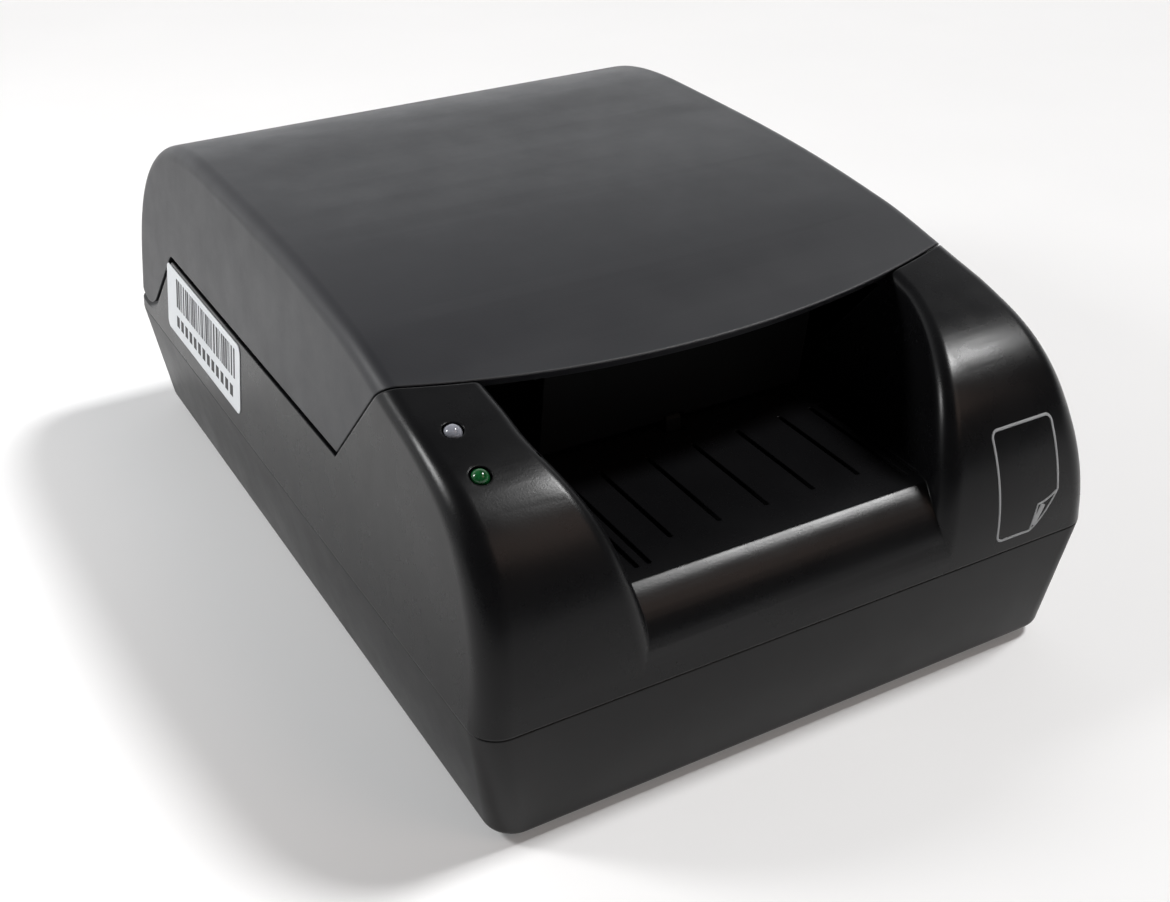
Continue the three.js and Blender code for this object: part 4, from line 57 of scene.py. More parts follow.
# Sizes in millimetres. X is the width, Y runs from front to rear, and Z counts from the floor.
BASE_Z = 1.5  # height of the casing's underside
HALF_WIDTH = 60.0
HALF_DEPTH = 87.5
WALL = 2.2
FIT = 0.3  # between pieces that fit together
OVERCUT = 1.0  # how far a cutting body reaches past its cut
ROOT = 0.5  # how far a boss reaches into what carries it
FAR = 175.0  # beyond the whole object

# Casings
BASE_HEIGHT = 23.3
SEAM = BASE_Z + BASE_HEIGHT
SEAM_GAP = 0.18
SEAM_EDGE = [(0.3, 0.0), (0.1, 0.08), (0.0, 0.3)]  # drop and inset of the base's upper edge
SIDE_LEAN = tan(radians(6.4))
BASE_TAPER_SIDE = 3.4
BASE_TAPER_END = 2.9
CORNER = 5.0
LEAST_EDGE = 0.6
UNDERSIDE_EDGE = 1.6
TONGUE_DEPTH = 2.4
TONGUE_THICKNESS = 1.2
NOSE_RADIUS = 36.0
NOSE_Y = -HALF_DEPTH + NOSE_RADIUS
NOSE_Z = BASE_Z + 27.0
NOSE_EASE = 2.3
NOSE_EASE_Y = (-81.0, -61.0, -31.0)
NOSE_EDGE_START = 0.3
CROWN = BASE_Z + 69.0
CROWN_Y = 38.0
CROWN_SWELL = 0.5
CROWN_SWELL_Y = (-44.0, -8.0, 34.0)
REAR_CURVE_HEIGHT = 37.0
REAR_POWER = 2.45
REAR_EDGE_START = 0.2
COVER_EDGE = 2.8
REAR_CHAMFER = 1.6

# Card recess
BED = BASE_Z + 37.5
BED_BELOW = BED - WALL
RECESS_HALF = 28.0
RECESS_LEAN = tan(radians(10.2))
RECESS_FLARE = 7.7
# Each side's half width at the front, its flare, and the flare's span in Y
RECESS_WALLS = {-1: (31.0, 4.7, -86.0, -62.0), 1: (25.6, 10.1, -88.0, -53.0)}
SHOULDER_EDGE = 4.0
SHOULDER_EDGE_TOP = 1.8
SHOULDER_INNER_X = RECESS_HALF + RECESS_FLARE + SHOULDER_EDGE
LIP_Y = -80.0
LIP_TILT = radians(27.0)
CHANNEL_END_Y = 74.0
GROOVES = 5
GROOVE_PITCH = 9.3
GROOVE_WIDTH = 0.9
GROOVE_DEPTH = 0.6
GROOVE_FRONT_Y = -72.6
GROOVE_REAR_Y = -50.0
EDGE_GROOVE_X = 25.3
EDGE_GROOVE_Y = -77.0

# Cover, and what closes the gaps round it
COVER_GAP = 1.2
FRONT_GAP = 0.4
FRONT_CORNER_X = 53.5
FRONT_CORNER_Y = -47.9
FRONT_BOW = 9.2
FRONT_OVERHANG = 12.0
FRONT_EDGE_Z = BASE_Z + 62.5
FRONT_UNDERCUT = 0.8
FRONT_CHAMFER = 0.32
FRONT_CHAMFER_SLOPE = 0.85
SKIRT = BASE_Z + 43.5
DECK = SKIRT - COVER_GAP
REAR_SKIRT_RISE = 1.0
RIB_X = 41.0
RIB_THICKNESS = 1.4
RIB_DEPTH = 4.0
RIB_FRONT_Y = -34.0
RIB_REAR_Y = 52.0
CROSS_RIBS = 4
LEDGE_DROP = 0.4
LEDGE_THICKNESS = 1.4
LEDGE_REACH = 4.5
LEDGE_LOW_Z = SKIRT + 6.0
SIDE_RIB_X = (53.1, 54.0)
SIDE_RIB_Y = (-37.0, -12.0)
SIDE_RIB_TOP = 49.5

# Hinge
HINGE_Y = 79.0
HINGE_Z = BASE_Z + 35.0
EAR_RADIUS = 8.5
EAR_INNER_X = 47.0
EAR_SIDE_GAP = 0.6
EAR_PEAK_Y = 61.0
EAR_PEAK_RADIUS = 3.0
EAR_CHEEK = 2.5
EAR_CHEEK_Z = BASE_Z + 53.0
PIN_RADIUS = 2.0
PIN_INNER_X = 38.5
PIN_OUTER_X = 54.0
PIN_BOSS_WALL = 2.2

# Feet, screws and sockets
FOOT_RADIUS = 6.0
FOOT_RECESS = 1.0
FOOT_EDGE = 0.5
FOOT_EDGE_TURNS = (0.0, 0.52, 1.05, 1.571)
FOOT_PLACES = {
    "front_left": (-45, -58), "front_right": (45, -58), "rear_left": (-45, 58), "rear_right": (45, 58),
}
SCREW_PLACES = [(-40, -72), (40, -72), (-39.5, 73), (39.5, 73)]
SCREW_RADIUS = 1.5
SCREW_HEAD_RADIUS = 2.8
SCREW_HEAD_DEPTH = 6.0
SCREW_LENGTH = 15.0
BOSS_WALL = 1.8
BOSS_JOINT_HEIGHT = 12.4
STUD_X = (-26.0, 4.0)
STUD_Y = (36.0, 56.0)
STUD_RADIUS = 2.8
STUD_HEIGHT = 4.6
BOARD_THICKNESS = 1.6
BOARD_TOP = BASE_Z + WALL + STUD_HEIGHT + FIT + BOARD_THICKNESS
SOCKETS = [(-18.0, 6.0), (-1.0, 4.5)]  # X and half width
SOCKET_HEIGHT = 11.0
SOCKET_CLEARANCE = 0.4
FRAME_SCREWS = [(-19.0, -38.5), (19.0, -38.5), (-19.0, 50.0), (19.0, 50.0)]
FRAME_SCREW_RADIUS = 1.25
FRAME_SCREW_REACH = 9.0
FRAME_CUP_TOP = BED + 1.6 + 5.4
PLATE_X = 34.0
PLATE_THICKNESS = 1.2
PLATE_SCREW_RADIUS = 1.2
PLATE_SCREW_Z = BED_BELOW - 4.6
PLATE_SCREWS = [(-38.0, -1), (16.0, -1), (-38.0, 1), (49.0, 1)]
PLATE_BOSS_LENGTH = 5.0
PLATE_BOSS_WIDTH = 7.0
PLATE_BOSS_DROP = 9.0

# Status lights, each at an (x, y) on the left shoulder
LED_CLEAR = (-49.4, -59.9)
LED_GREEN = (-49.6, -69.1)
LED_RADIUS = 1.5
LED_PROUD = 0.75
LED_DOME_TURN = 1.5
FLANGE_RADIUS = 1.9
FLANGE_THICKNESS = 1.0
LED_SINK_RADIUS = 1.7
LED_SINK_DEPTH = 0.1

# Card transport
ROLLER_RADIUS = 6.0
ROLLER_LENGTH = 14.0
ROLLER_X = 14.0
ROLLER_EDGE = 0.3
SHAFT_RADIUS = 2.5
SHAFT_Z = BED + 0.5 - ROLLER_RADIUS
ENTRY_Y = -30.0
TRANSPORT_Y = 6.0
SLOT_CLEARANCE = 0.6
SENSOR_Y = -12.0
GLASS_WIDTH = 12.4
GLASS_LENGTH = 53.4
FLAG_Y = -43.0
FLAG_Z = BED - 6.0
FLAG_WIDTH = 3.0
FLAG_SLOT_FRONT = 2.2
FLAG_SWEEP = 8.8 * sin(radians(48.0))
BRACKET_THICKNESS = 2.0
BRACKET_HALF = 3.2
FLAG_HOLE_RADIUS = 1.3
FLAG_HOLE_HALF = 4.8
STAND_X = 5.0
STAND_Y = 4.0
STAND_DROP = 13.0
PRESSER_RADIUS = 4.5
PRESSER_LENGTH = 10.0
PRESSER_SHAFT_RADIUS = 1.5
PRESSER_Z = BED + 0.5 + FIT + PRESSER_RADIUS
SPRING_FOOT_X = 20.5
SPRING_END_X = 21.7
SPRING_THICKNESS = 0.5
SPRING_WIDTH = 5.0
SPRING_OVER_ROLLER = 1.3

# Printed matter: the label on the left wall and the page sign on the right shoulder
LABEL_Y0, LABEL_Y1 = 17.0, 63.5
LABEL_Z0, LABEL_Z1 = BASE_Z + 27.0, BASE_Z + 41.5
LABEL_CORNER = 1.6
LABEL_LEVELS = (-0.02, 0.12)
MARK_LEVELS = (0.11, 0.15)
BAR_WIDTHS = [0.9, 0.35, 0.35, 0.7, 0.35, 0.9, 0.5, 0.35, 0.7]
MARKS = 13
MARK_PITCH = 2.85
MARK_WIDTH = 1.7
SIGN_X = (37.6, 50.7)
SIGN_Z = (BASE_Z + 26.0, BASE_Z + 45.2)
SIGN_CORNER = 1.2
SIGN_LINE = 0.45
SIGN_PROUD = 0.05
FOLD_X = 45.4
FOLD_HEIGHT = 6.4
FOLD_LINE = 0.4
FOLD_SHADE = 1.1

# Facets of the fine solids
NOSE_STEPS = 44
CROWN_STEPS = 30
REAR_STEPS = 44
EDGE_STEPS = 9
BOW_STEPS = 72
LIP_STEPS = 24
EAR_STEPS = 32
EAR_OPEN_STEPS = 12
CORNER_STEPS = 8
BASE_CORNER_STEPS = 12
UNDERSIDE_STEPS = 6
GROOVE_STEPS = 10
DOME_STEPS = 10
ROUND_SIDES = 48
MERGED = 0.01  # points closer than this become one
WORN_OUT = 0.004  # edges shorter than this are dissolved
SMOOTH_ANGLE = 28.0
DOME_ANGLE = 60.0

# Camera, floor and room
CAMERA_TURN = radians(-29.615)
CAMERA_RISE = radians(31.011)
CAMERA_ROLL = radians(-0.299)
CAMERA_SPOT = (-130.487, -242.066, 176.736)
SENSOR_SIZE = 36.0
FOCAL_PIXELS = 1551.3
PHOTO_WIDTH = 1170.0
FLOOR_HALF = 12.0  # metres
FLOOR_LIFT = 0.12
WORLD_FRONT = 0.05
WORLD_LOW = 1.5
WORLD_HIGH = 0.2
# Where the room changes, in the direction's Y and Z
DEPTH_SPAN = (-0.1, 0.75)
HEIGHT_SPAN = (0.1, 0.75)
HORIZON_SPAN = (0.045, 0.09)


def linked(name, data):
    thing = bpy.data.objects.new(name, data)
    scene.collection.objects.link(thing)
    return thing


# Camera at the photograph's place

def add_camera():
    level = cos(CAMERA_RISE)
    right = Vector((cos(CAMERA_TURN), sin(CAMERA_TURN), 0.0))
    back = Vector((sin(CAMERA_TURN) * level, -cos(CAMERA_TURN) * level, sin(CAMERA_RISE)))
    right.rotate(Matrix.Rotation(CAMERA_ROLL, 3, back))
    up = back.cross(right)
    data = bpy.data.cameras.new("photo_camera")
    data.sensor_width = SENSOR_SIZE
    data.lens = FOCAL_PIXELS / PHOTO_WIDTH * SENSOR_SIZE
    data.clip_start = 0.01
    camera = linked("photo_camera", data)
    spot = Vector(CAMERA_SPOT) * MM
    rotation = Matrix((right, up, back)).transposed().to_4x4()
    camera.matrix_world = Matrix.Translation(spot) @ rotation
    scene.camera = camera


# Solids in millimetres

def lerp(a, b, t):
    return a + (b - a) * t


def smoothstep(x, low, high):
    t = min(max((x - low) / (high - low), 0.0), 1.0)
    return t * t * (3 - 2 * t)


def mesh_of(points, faces):
    """A closed mesh with its normals outward."""
    mesh = bpy.data.meshes.new("solid")
    mesh.from_pydata([tuple(p) for p in points], [], faces)
    form = bmesh.new()
    form.from_mesh(mesh)
    bmesh.ops.recalc_face_normals(form, faces=form.faces)
    if form.calc_volume(signed=True) < 0:
        bmesh.ops.reverse_faces(form, faces=form.faces)
    form.to_mesh(mesh)
    form.free()
    return mesh


def combined(first, second, operation):
    pair = [linked("working", mesh) for mesh in (first, second)]
    boolean = pair[0].modifiers.new("boolean", "BOOLEAN")
    boolean.operation = operation
    boolean.solver = "MANIFOLD"
    boolean.object = pair[1]
    view = bpy.context.evaluated_depsgraph_get()
    result = bpy.data.meshes.new_from_object(pair[0].evaluated_get(view))
    for thing in pair:
        bpy.data.objects.remove(thing)
    return result


def joined(*meshes):
    total = meshes[0]
    for mesh in meshes[1:]:
        total = combined(total, mesh, "UNION")
    return total


def cut(mesh, *tools):
    for tool in tools:
        mesh = combined(mesh, tool, "DIFFERENCE")
    return mesh


def common(first, second):
    return combined(first, second, "INTERSECT")


def loft(rings):
    """A closed body through rings of equally many points, with a flat face at each end."""
    count = len(rings[0])
    points = [p for ring in rings for p in ring]
    faces = []
    for r in range(len(rings) - 1):
        for i in range(count):
            a = r * count + i
            b = r * count + (i + 1) % count
            faces.append((a, b, b + count, a + count))
    faces.append(tuple(range(count)))
    faces.append(tuple((len(rings) - 1) * count + i for i in range(count)))
    return mesh_of(points, faces)


def block(x0, x1, y0, y1, z0, z1):
    lower = [(x0, y0, z0), (x1, y0, z0), (x1, y1, z0), (x0, y1, z0)]
    return loft([lower, [(x, y, z1) for x, y, _ in lower]])


def post(x, y, half_x, half_y, z0, z1):
    return block(x - half_x, x + half_x, y - half_y, y + half_y, z0, z1)


def prism_x(outline, x0, x1):
    return loft([[(x, y, z) for y, z in outline] for x in (x0, x1)])


def prism_z(outline, z0, z1):
    return loft([[(x, y, z) for x, y in outline] for z in (z0, z1)])


def circle(radius, u, v):
    return arc(u, v, radius, 0.0, 2 * pi, ROUND_SIDES)[:-1]


def arc(u, v, radius, start, end, steps):
    turns = [lerp(start, end, i / steps) for i in range(steps + 1)]
    return [(u + radius * cos(t), v + radius * sin(t)) for t in turns]


def rod_x(radius, x0, x1, y, z):
    return prism_x(circle(radius, y, z), x0, x1)


def rod_z(radius, z0, z1, x, y):
    return prism_z(circle(radius, x, y), z0, z1)


def turned(points, place):
    """A body turned about Z from (radius, height) points off the axis, then moved by the matrix."""
    rings = [[(r * c, r * s, h) for c, s in circle(1.0, 0.0, 0.0)] for r, h in points]
    mesh = loft(rings)
    mesh.transform(place)
    return mesh


def rounded_outline(u0, u1, v0, v1, radius, steps=CORNER_STEPS):
    return (
        arc(u1 - radius, v0 + radius, radius, -QUARTER, 0.0, steps)
        + arc(u1 - radius, v1 - radius, radius, 0.0, QUARTER, steps)
        + arc(u0 + radius, v1 - radius, radius, QUARTER, 2 * QUARTER, steps)
        + arc(u0 + radius, v0 + radius, radius, 2 * QUARTER, 3 * QUARTER, steps)
    )


def span(side, near, far):
    """Lowest and highest X between two distances from the middle, on one side."""
    return (near, far) if side > 0 else (-far, -near)


# Casing surfaces

CROWN_REACH = CROWN_Y - NOSE_Y
CROWN_RISE = CROWN - NOSE_Z
CROWN_RADIUS = (CROWN_REACH**2 + CROWN_RISE**2 - NOSE_RADIUS**2) / (2 * (CROWN_RISE - NOSE_RADIUS))
CROWN_Z = CROWN - CROWN_RADIUS
MEETING = atan2(NOSE_Z - CROWN_Z, NOSE_Y - CROWN_Y)


def swelling(y, start, peak, end):
    """Rises smoothly from 0 at the start to 1 at the peak, and falls to 0 at the end."""
    return smoothstep(y, start, peak) if y < peak else 1 - smoothstep(y, peak, end)


def side_profile(bottom):
    """Side view points over the top from seam to seam, with outward normal and edge radius."""
    points = []

    def add_top(y, z, ny, nz, edge):
        sink = NOSE_EASE * swelling(y, *NOSE_EASE_Y) - CROWN_SWELL * swelling(y, *CROWN_SWELL_Y)
        points.append((y - ny * sink, z - nz * sink, edge))

    points.append((-HALF_DEPTH, bottom, CORNER))
    for i in range(NOSE_STEPS + 1):
        turn = lerp(pi, MEETING, i / NOSE_STEPS)
        edge = lerp(CORNER, COVER_EDGE, smoothstep(i / NOSE_STEPS, NOSE_EDGE_START, 1.0))
        c, s = cos(turn), sin(turn)
        add_top(NOSE_Y + NOSE_RADIUS * c, NOSE_Z + NOSE_RADIUS * s, c, s, edge)
    for i in range(1, CROWN_STEPS + 1):
        turn = lerp(MEETING, QUARTER, i / CROWN_STEPS)
        c, s = cos(turn), sin(turn)
        add_top(CROWN_Y + CROWN_RADIUS * c, CROWN_Z + CROWN_RADIUS * s, c, s, COVER_EDGE)
    for i in range(1, REAR_STEPS + 1):
        turn = lerp(QUARTER, 0.0, i / REAR_STEPS)
        edge = lerp(COVER_EDGE, CORNER, smoothstep(i / REAR_STEPS, REAR_EDGE_START, 1.0))
        c, s = max(cos(turn), 0.0) ** (2 / REAR_POWER), max(sin(turn), 0.0) ** (2 / REAR_POWER)
        points.append((lerp(CROWN_Y, HALF_DEPTH, c), CROWN - REAR_CURVE_HEIGHT * (1 - s), edge))
    points.append((HALF_DEPTH, bottom, CORNER))
    full = []
    for i, (y, z, edge) in enumerate(points):
        y0, z0, _ = points[max(i - 1, 0)]
        y1, z1, _ = points[min(i + 1, len(points) - 1)]
        length = hypot(y1 - y0, z1 - z0)
        full.append((y, z, (z0 - z1) / length, (y1 - y0) / length, edge))
    return full


def outer_side(z):
    return HALF_WIDTH - SIDE_LEAN * (z - SEAM)


def recess_side(side, y, z):
    """How far the recess's wall on that side stands from the middle."""
    half, flare, start, end = RECESS_WALLS[side]
    return half + flare * smoothstep(y, start, end) + RECESS_LEAN * (z - BED)


def casing_slab(left, right, left_edge, right_edge, inset, bottom):
    """The side view drawn out from one wall to the other, each wall a place in X for every (y, z)."""
    profile = side_profile(bottom)

    def ring(side, inward, edge_of, turn):
        points = []
        for y, z, ny, nz, edge in profile:
            edge = max(edge_of(edge) - inset, LEAST_EDGE)
            depth = inset + edge * (1 - sin(turn))
            v, w = y - ny * depth, z - nz * depth
            points.append((side(v, w) + inward * edge * (1 - cos(turn)), v, w))
        return points

    turns = [i / EDGE_STEPS * QUARTER for i in range(EDGE_STEPS + 1)]
    rings = [ring(left, 1, left_edge, t) for t in turns]
    rings += [ring(right, -1, right_edge, t) for t in reversed(turns)]
    count, last = len(profile), len(rings) - 1
    points = [p for one in rings for p in one]
    faces, feet = [], [[r * count, r * count + count - 1] for r in range(last + 1)]
    for r, side in ((0, left), (last, right)):
        start = r * count
        row = [start]
        for _, y, _ in rings[r][2:count - 2]:
            row.append(len(points))
            points.append((side(y, bottom), y, bottom))
        row.append(start + count - 1)
        feet[r] = row
        for i in range(1, count - 2):
            faces.append((start + i, start + i + 1, row[i], row[i - 1]))
    for r in range(last):
        for i in range(r * count, r * count + count - 1):
            faces.append((i, i + 1, i + 1 + count, i + count))
        faces.append((*feet[r], *reversed(feet[r + 1])))
    return mesh_of(points, faces)


def own_edge(edge):
    return edge


def shoulder_edge(edge):
    """A shoulder's inner edge radius, where the outer one is the given."""
    share = (edge - COVER_EDGE) / (CORNER - COVER_EDGE)
    return lerp(SHOULDER_EDGE_TOP, SHOULDER_EDGE, share)


def outer_wall(side, inset):
    return lambda _, z: side * (outer_side(z) - inset)


def upper_body(inset, bottom):
    """The whole casing above the level, cover included, drawn in by the inset."""
    return casing_slab(outer_wall(-1, inset), outer_wall(1, inset), own_edge, own_edge, inset, bottom)


def shoulder(side, inset, bottom):
    outer = outer_wall(side, inset)

    def inner(y, z):
        return side * (recess_side(side, y, z) + inset)

    if side > 0:
        return casing_slab(inner, outer, shoulder_edge, own_edge, inset, bottom)
    return casing_slab(outer, inner, own_edge, shoulder_edge, inset, bottom)


def centre_outline(inset, bottom):
    """Side view between the shoulders: the lip, the bed and the deck behind it."""
    radius = (LIP_Y + HALF_DEPTH) / (1 - sin(LIP_TILT))
    lip_y, lip_z = radius - HALF_DEPTH, BED - radius * cos(LIP_TILT)
    crest = pi - asin((BED - inset - lip_z) / (radius - inset))
    rear = HALF_DEPTH - inset
    return (
        [(-HALF_DEPTH + inset, bottom)]
        + arc(lip_y, lip_z, radius - inset, pi, crest, LIP_STEPS)
        + [
            (CHANNEL_END_Y + inset, BED - inset),
            (CHANNEL_END_Y + inset, DECK - inset),
            (rear - REAR_CHAMFER, DECK - inset),
            (rear, DECK - inset - REAR_CHAMFER),
            (rear, bottom),
        ]
    )


def skirt_outline(gap, open_rear):
    """Side view of the room above the skirt's edge and round the hinge ear, widened by the gap."""
    dy, dz = HINGE_Y - EAR_PEAK_Y, HINGE_Z - SKIRT
    slope = atan2(dz, dy) - asin(EAR_RADIUS / hypot(dy, dz))
    away = slope - QUARTER
    level = SKIRT - gap
    ear = EAR_RADIUS + gap
    corner = EAR_PEAK_RADIUS - gap
    points = [(-FAR, FAR), (-FAR, level)]
    if corner > FIT:
        back = EAR_PEAK_RADIUS / tan((pi + slope) / 2)
        peak_y, peak_z = EAR_PEAK_Y - back, SKIRT - EAR_PEAK_RADIUS
        points += arc(peak_y, peak_z, corner, QUARTER, away + pi, CORNER_STEPS)
    else:
        touch_y = HINGE_Y + ear * cos(away)
        touch_z = HINGE_Z + ear * sin(away)
        points.append((touch_y + (level - touch_z) / tan(slope), level))
    if open_rear:
        points += arc(HINGE_Y, HINGE_Z, ear, away, -QUARTER, EAR_OPEN_STEPS)
        points.append((FAR, HINGE_Z - ear))
    else:
        points += arc(HINGE_Y, HINGE_Z, ear, away, 0.0, EAR_STEPS)
        points.append((FAR, HINGE_Z))
    points.append((FAR, FAR))
    return points


def behind_bow(corner_y, bow, slope, level):
    """All that lies behind a bowed front, which leans by the slope about the given level."""
    radius = (FRONT_CORNER_X**2 + bow**2) / (2 * bow)
    half = HALF_WIDTH + FRONT_OVERHANG
    spread = asin(half / radius)
    outline = arc(0.0, corner_y - bow + radius, radius, -QUARTER - spread, -QUARTER + spread, BOW_STEPS)
    outline += [(half, 2 * FAR), (-half, 2 * FAR)]
    mesh = prism_z(outline, 0.0, FAR)
    shear = Matrix.Identity(4)
    shear[1][2] = slope
    shear[1][3] = -slope * level
    mesh.transform(shear)
    return mesh


def behind_front_edge(gap):
    """All that lies behind a face that far in front of the cover's bowed front."""
    forward = gap * hypot(1.0, FRONT_UNDERCUT)
    return behind_bow(FRONT_CORNER_Y - forward, FRONT_BOW, -FRONT_UNDERCUT, FRONT_EDGE_Z)


def front_edge(place):
    """Where the cover's leaning front, at that place at FRONT_EDGE_Z, meets its top."""
    y = place
    for _ in range(8):
        y = place + FRONT_UNDERCUT * (FRONT_EDGE_Z - surface_height(y))
    return y, surface_height(y)


def behind_chamfer():
    """All that lies behind the chamfer along the cover's front edge."""
    middle_y, middle_z = front_edge(FRONT_CORNER_Y - FRONT_BOW)
    corner_y, corner_z = front_edge(FRONT_CORNER_Y)
    end = corner_y - FRONT_CHAMFER_SLOPE * (corner_z - middle_z)
    return behind_bow(end, end - middle_y, FRONT_CHAMFER_SLOPE, middle_z - FRONT_CHAMFER)


def cover_room(gap, front_gap, ear_inner, centre_level, open_rear):
    """The room that the cover takes, widened by the gaps."""
    side = skirt_outline(gap, open_rear)
    room = joined(
        prism_x(side, ear_inner, FAR),
        prism_x(side, -FAR, -ear_inner),
        block(-ear_inner, ear_inner, -FAR, FAR, centre_level, FAR),
    )
    return common(room, behind_front_edge(front_gap))


def surface_height(y):
    """Height of the casing's top in the middle."""
    profile = side_profile(SEAM)[1:]
    for (y0, z0, *_), (y1, z1, *_) in zip(profile, profile[1:]):
        if y0 <= y < y1:
            return lerp(z0, z1, (y - y0) / (y1 - y0))


# Finished pieces

def faired(mesh, angle):
    """Smooth shading, with the edges sharper than the angle kept."""
    form = bmesh.new()
    form.from_mesh(mesh)
    bmesh.ops.remove_doubles(form, verts=form.verts, dist=MERGED)
    bmesh.ops.dissolve_degenerate(form, edges=form.edges, dist=WORN_OUT)
    for face in form.faces:
        face.smooth = True
    limit = radians(angle)
    for edge in form.edges:
        edge.smooth = len(edge.link_faces) == 2 and edge.calc_face_angle(0.0) < limit
    form.to_mesh(mesh)
    form.free()


def piece(name, mesh, body, look, node=None, angle=SMOOTH_ANGLE):
    faired(mesh, angle)
    mesh.transform(Matrix.Scale(MM, 4))
    mesh.name = name
    mesh.materials.clear()
    mesh.materials.append(looks[look])
    thing = linked(name, mesh)
    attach(thing, body)
    if node:
        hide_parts(node)
    return thing


def fine(node, mesh, body, look):
    """A piece that stands for a node."""
    return piece(f"fine_{node}", mesh, body, look, node)


# Materials, with scales per metre and depths of relief in metres

NOISE_SPAN = (0.3, 0.7)
CLOUD_SPAN = (0.35, 0.65)
CLOUD_SCALE = 38.0
WEAR_SCALE = 110.0
GLOSS_SPREAD = 0.035
DUST_SCALE = 260.0
DUST_EDGE = (0.05, 0.11)
DUST_GREY = (0.3, 0.3, 0.29)
EDGE_ROUNDING = 0.0004
FINE_RELIEF = 1e-5

# Two colours, roughness, scale and depth of the grain, share of dust, and specular level
PLASTICS = {
    "shell_black": ((0.0044, 0.0044, 0.0049), (0.0054, 0.0054, 0.006), 0.28, 2600.0, 12e-6, 0.0, 0.205),
    "base_black": ((0.0036, 0.0036, 0.0039), (0.0048, 0.0048, 0.0051), 0.4, 2600.0, 14e-6, 0.0, 0.26),
    "cover_slate": ((0.0178, 0.0184, 0.0213), (0.0205, 0.0211, 0.0243), 0.44, 3000.0, 16e-6, 0.003, 0.36),
    "frame_black": ((0.003, 0.003, 0.0032), (0.0042, 0.0042, 0.0044), 0.55, 1800.0, 20e-6, 0.0, 0.1),
    "socket_black": ((0.006, 0.006, 0.006), (0.009, 0.009, 0.009), 0.5, 1800.0, 10e-6),
    "rubber_black": ((0.012, 0.012, 0.012), (0.02, 0.02, 0.02), 0.82, 1500.0, 40e-6),
    "gear_white": ((0.72, 0.7, 0.64), (0.8, 0.78, 0.72), 0.45, 900.0, 10e-6),
    "platen_white": ((0.8, 0.8, 0.78), (0.86, 0.86, 0.84), 0.55, 900.0, 10e-6),
    "window": ((0.02, 0.023, 0.025), (0.026, 0.03, 0.032), 0.08, 300.0, 1e-6),
    "label_paper": ((0.62, 0.64, 0.66), (0.7, 0.72, 0.74), 0.5, 700.0, 4e-6),
    "label_ink": ((0.012, 0.012, 0.014), (0.02, 0.02, 0.022), 0.55, 700.0, 2e-6),
    "print_grey": ((0.34, 0.35, 0.36), (0.42, 0.43, 0.44), 0.5, 900.0, 3e-6),
}
# Two colours, roughness, scale of the streaks, and how far they are drawn out in X, Y and Z
METALS = {
    "steel": ((0.52, 0.53, 0.55), (0.62, 0.63, 0.65), 0.26, 400.0, (1.0, 12.0, 12.0)),
    "zinc": ((0.42, 0.43, 0.45), (0.55, 0.56, 0.57), 0.4, 160.0, (1.0, 1.0, 1.0)),
    "brass": ((0.5, 0.34, 0.13), (0.6, 0.42, 0.17), 0.3, 400.0, (1.0, 8.0, 8.0)),
}
# Two colours and the share of light let through
LENSES = {
    "clear_lens": ((0.26, 0.27, 0.31), (0.34, 0.35, 0.4), 0.2),
    "green_lens": ((0.004, 0.06, 0.014), (0.01, 0.12, 0.03), 0.15),
}


def principled(name):
    material = bpy.data.materials.new(name)
    material.use_nodes = True
    tree = material.node_tree
    return material, tree, tree.nodes["Principled BSDF"]


def feed(tree, node, inputs):
    """Sets each named input to its value, or links it to its socket."""
    for name, value in inputs.items():
        if isinstance(value, bpy.types.NodeSocket):
            tree.links.new(value, node.inputs[name])
        else:
            node.inputs[name].default_value = value


def added(tree, kind, inputs):
    node = tree.nodes.new(f"ShaderNode{kind}")
    feed(tree, node, inputs)
    return node


def place_of(tree):
    return tree.nodes.new("ShaderNodeTexCoord").outputs["Object"]


def noise(tree, scale, detail=2.0, roughness=0.5, streak=None):
    place = place_of(tree)
    if streak:
        place = added(tree, "Mapping", {"Vector": place, "Scale": streak}).outputs["Vector"]
    inputs = {"Vector": place, "Scale": scale, "Detail": detail, "Roughness": roughness}
    return added(tree, "TexNoise", inputs).outputs["Fac"]


def mapped(tree, source, low, high, to_low, to_high):
    inputs = {"Value": source, "From Min": low, "From Max": high, "To Min": to_low, "To Max": to_high}
    return added(tree, "MapRange", inputs).outputs["Result"]


def reckoned(tree, operation, first, second):
    node = added(tree, "Math", {0: first, 1: second})
    node.operation = operation
    return node.outputs[0]


def blended(tree, factor, first, second):
    node = tree.nodes.new("ShaderNodeMix")
    node.data_type = "RGBA"
    tree.links.new(factor, node.inputs["Factor"])
    for name, value in (("A", first), ("B", second)):
        socket = [s for s in node.inputs if s.name == name and s.type == "RGBA"][0]
        if isinstance(value, tuple):
            socket.default_value = (*value, 1.0)
        else:
            tree.links.new(value, socket)
    return [s for s in node.outputs if s.type == "RGBA"][0]


def varied(tree, source, first, second, span=NOISE_SPAN):
    """A colour that goes from the first to the second as the noise rises."""
    return blended(tree, mapped(tree, source, *span, 0.0, 1.0), first, second)


def bumped(tree, shader, height, distance, edge=0.0):
    """Fine relief, on edges that look rounded to the given radius."""
    node = added(tree, "Bump", {"Height": height, "Distance": distance})
    if edge > 0.0:
        bevel = added(tree, "Bevel", {"Radius": edge})
        bevel.samples = 6
        tree.links.new(bevel.outputs["Normal"], node.inputs["Normal"])
    tree.links.new(node.outputs["Normal"], shader.inputs["Normal"])


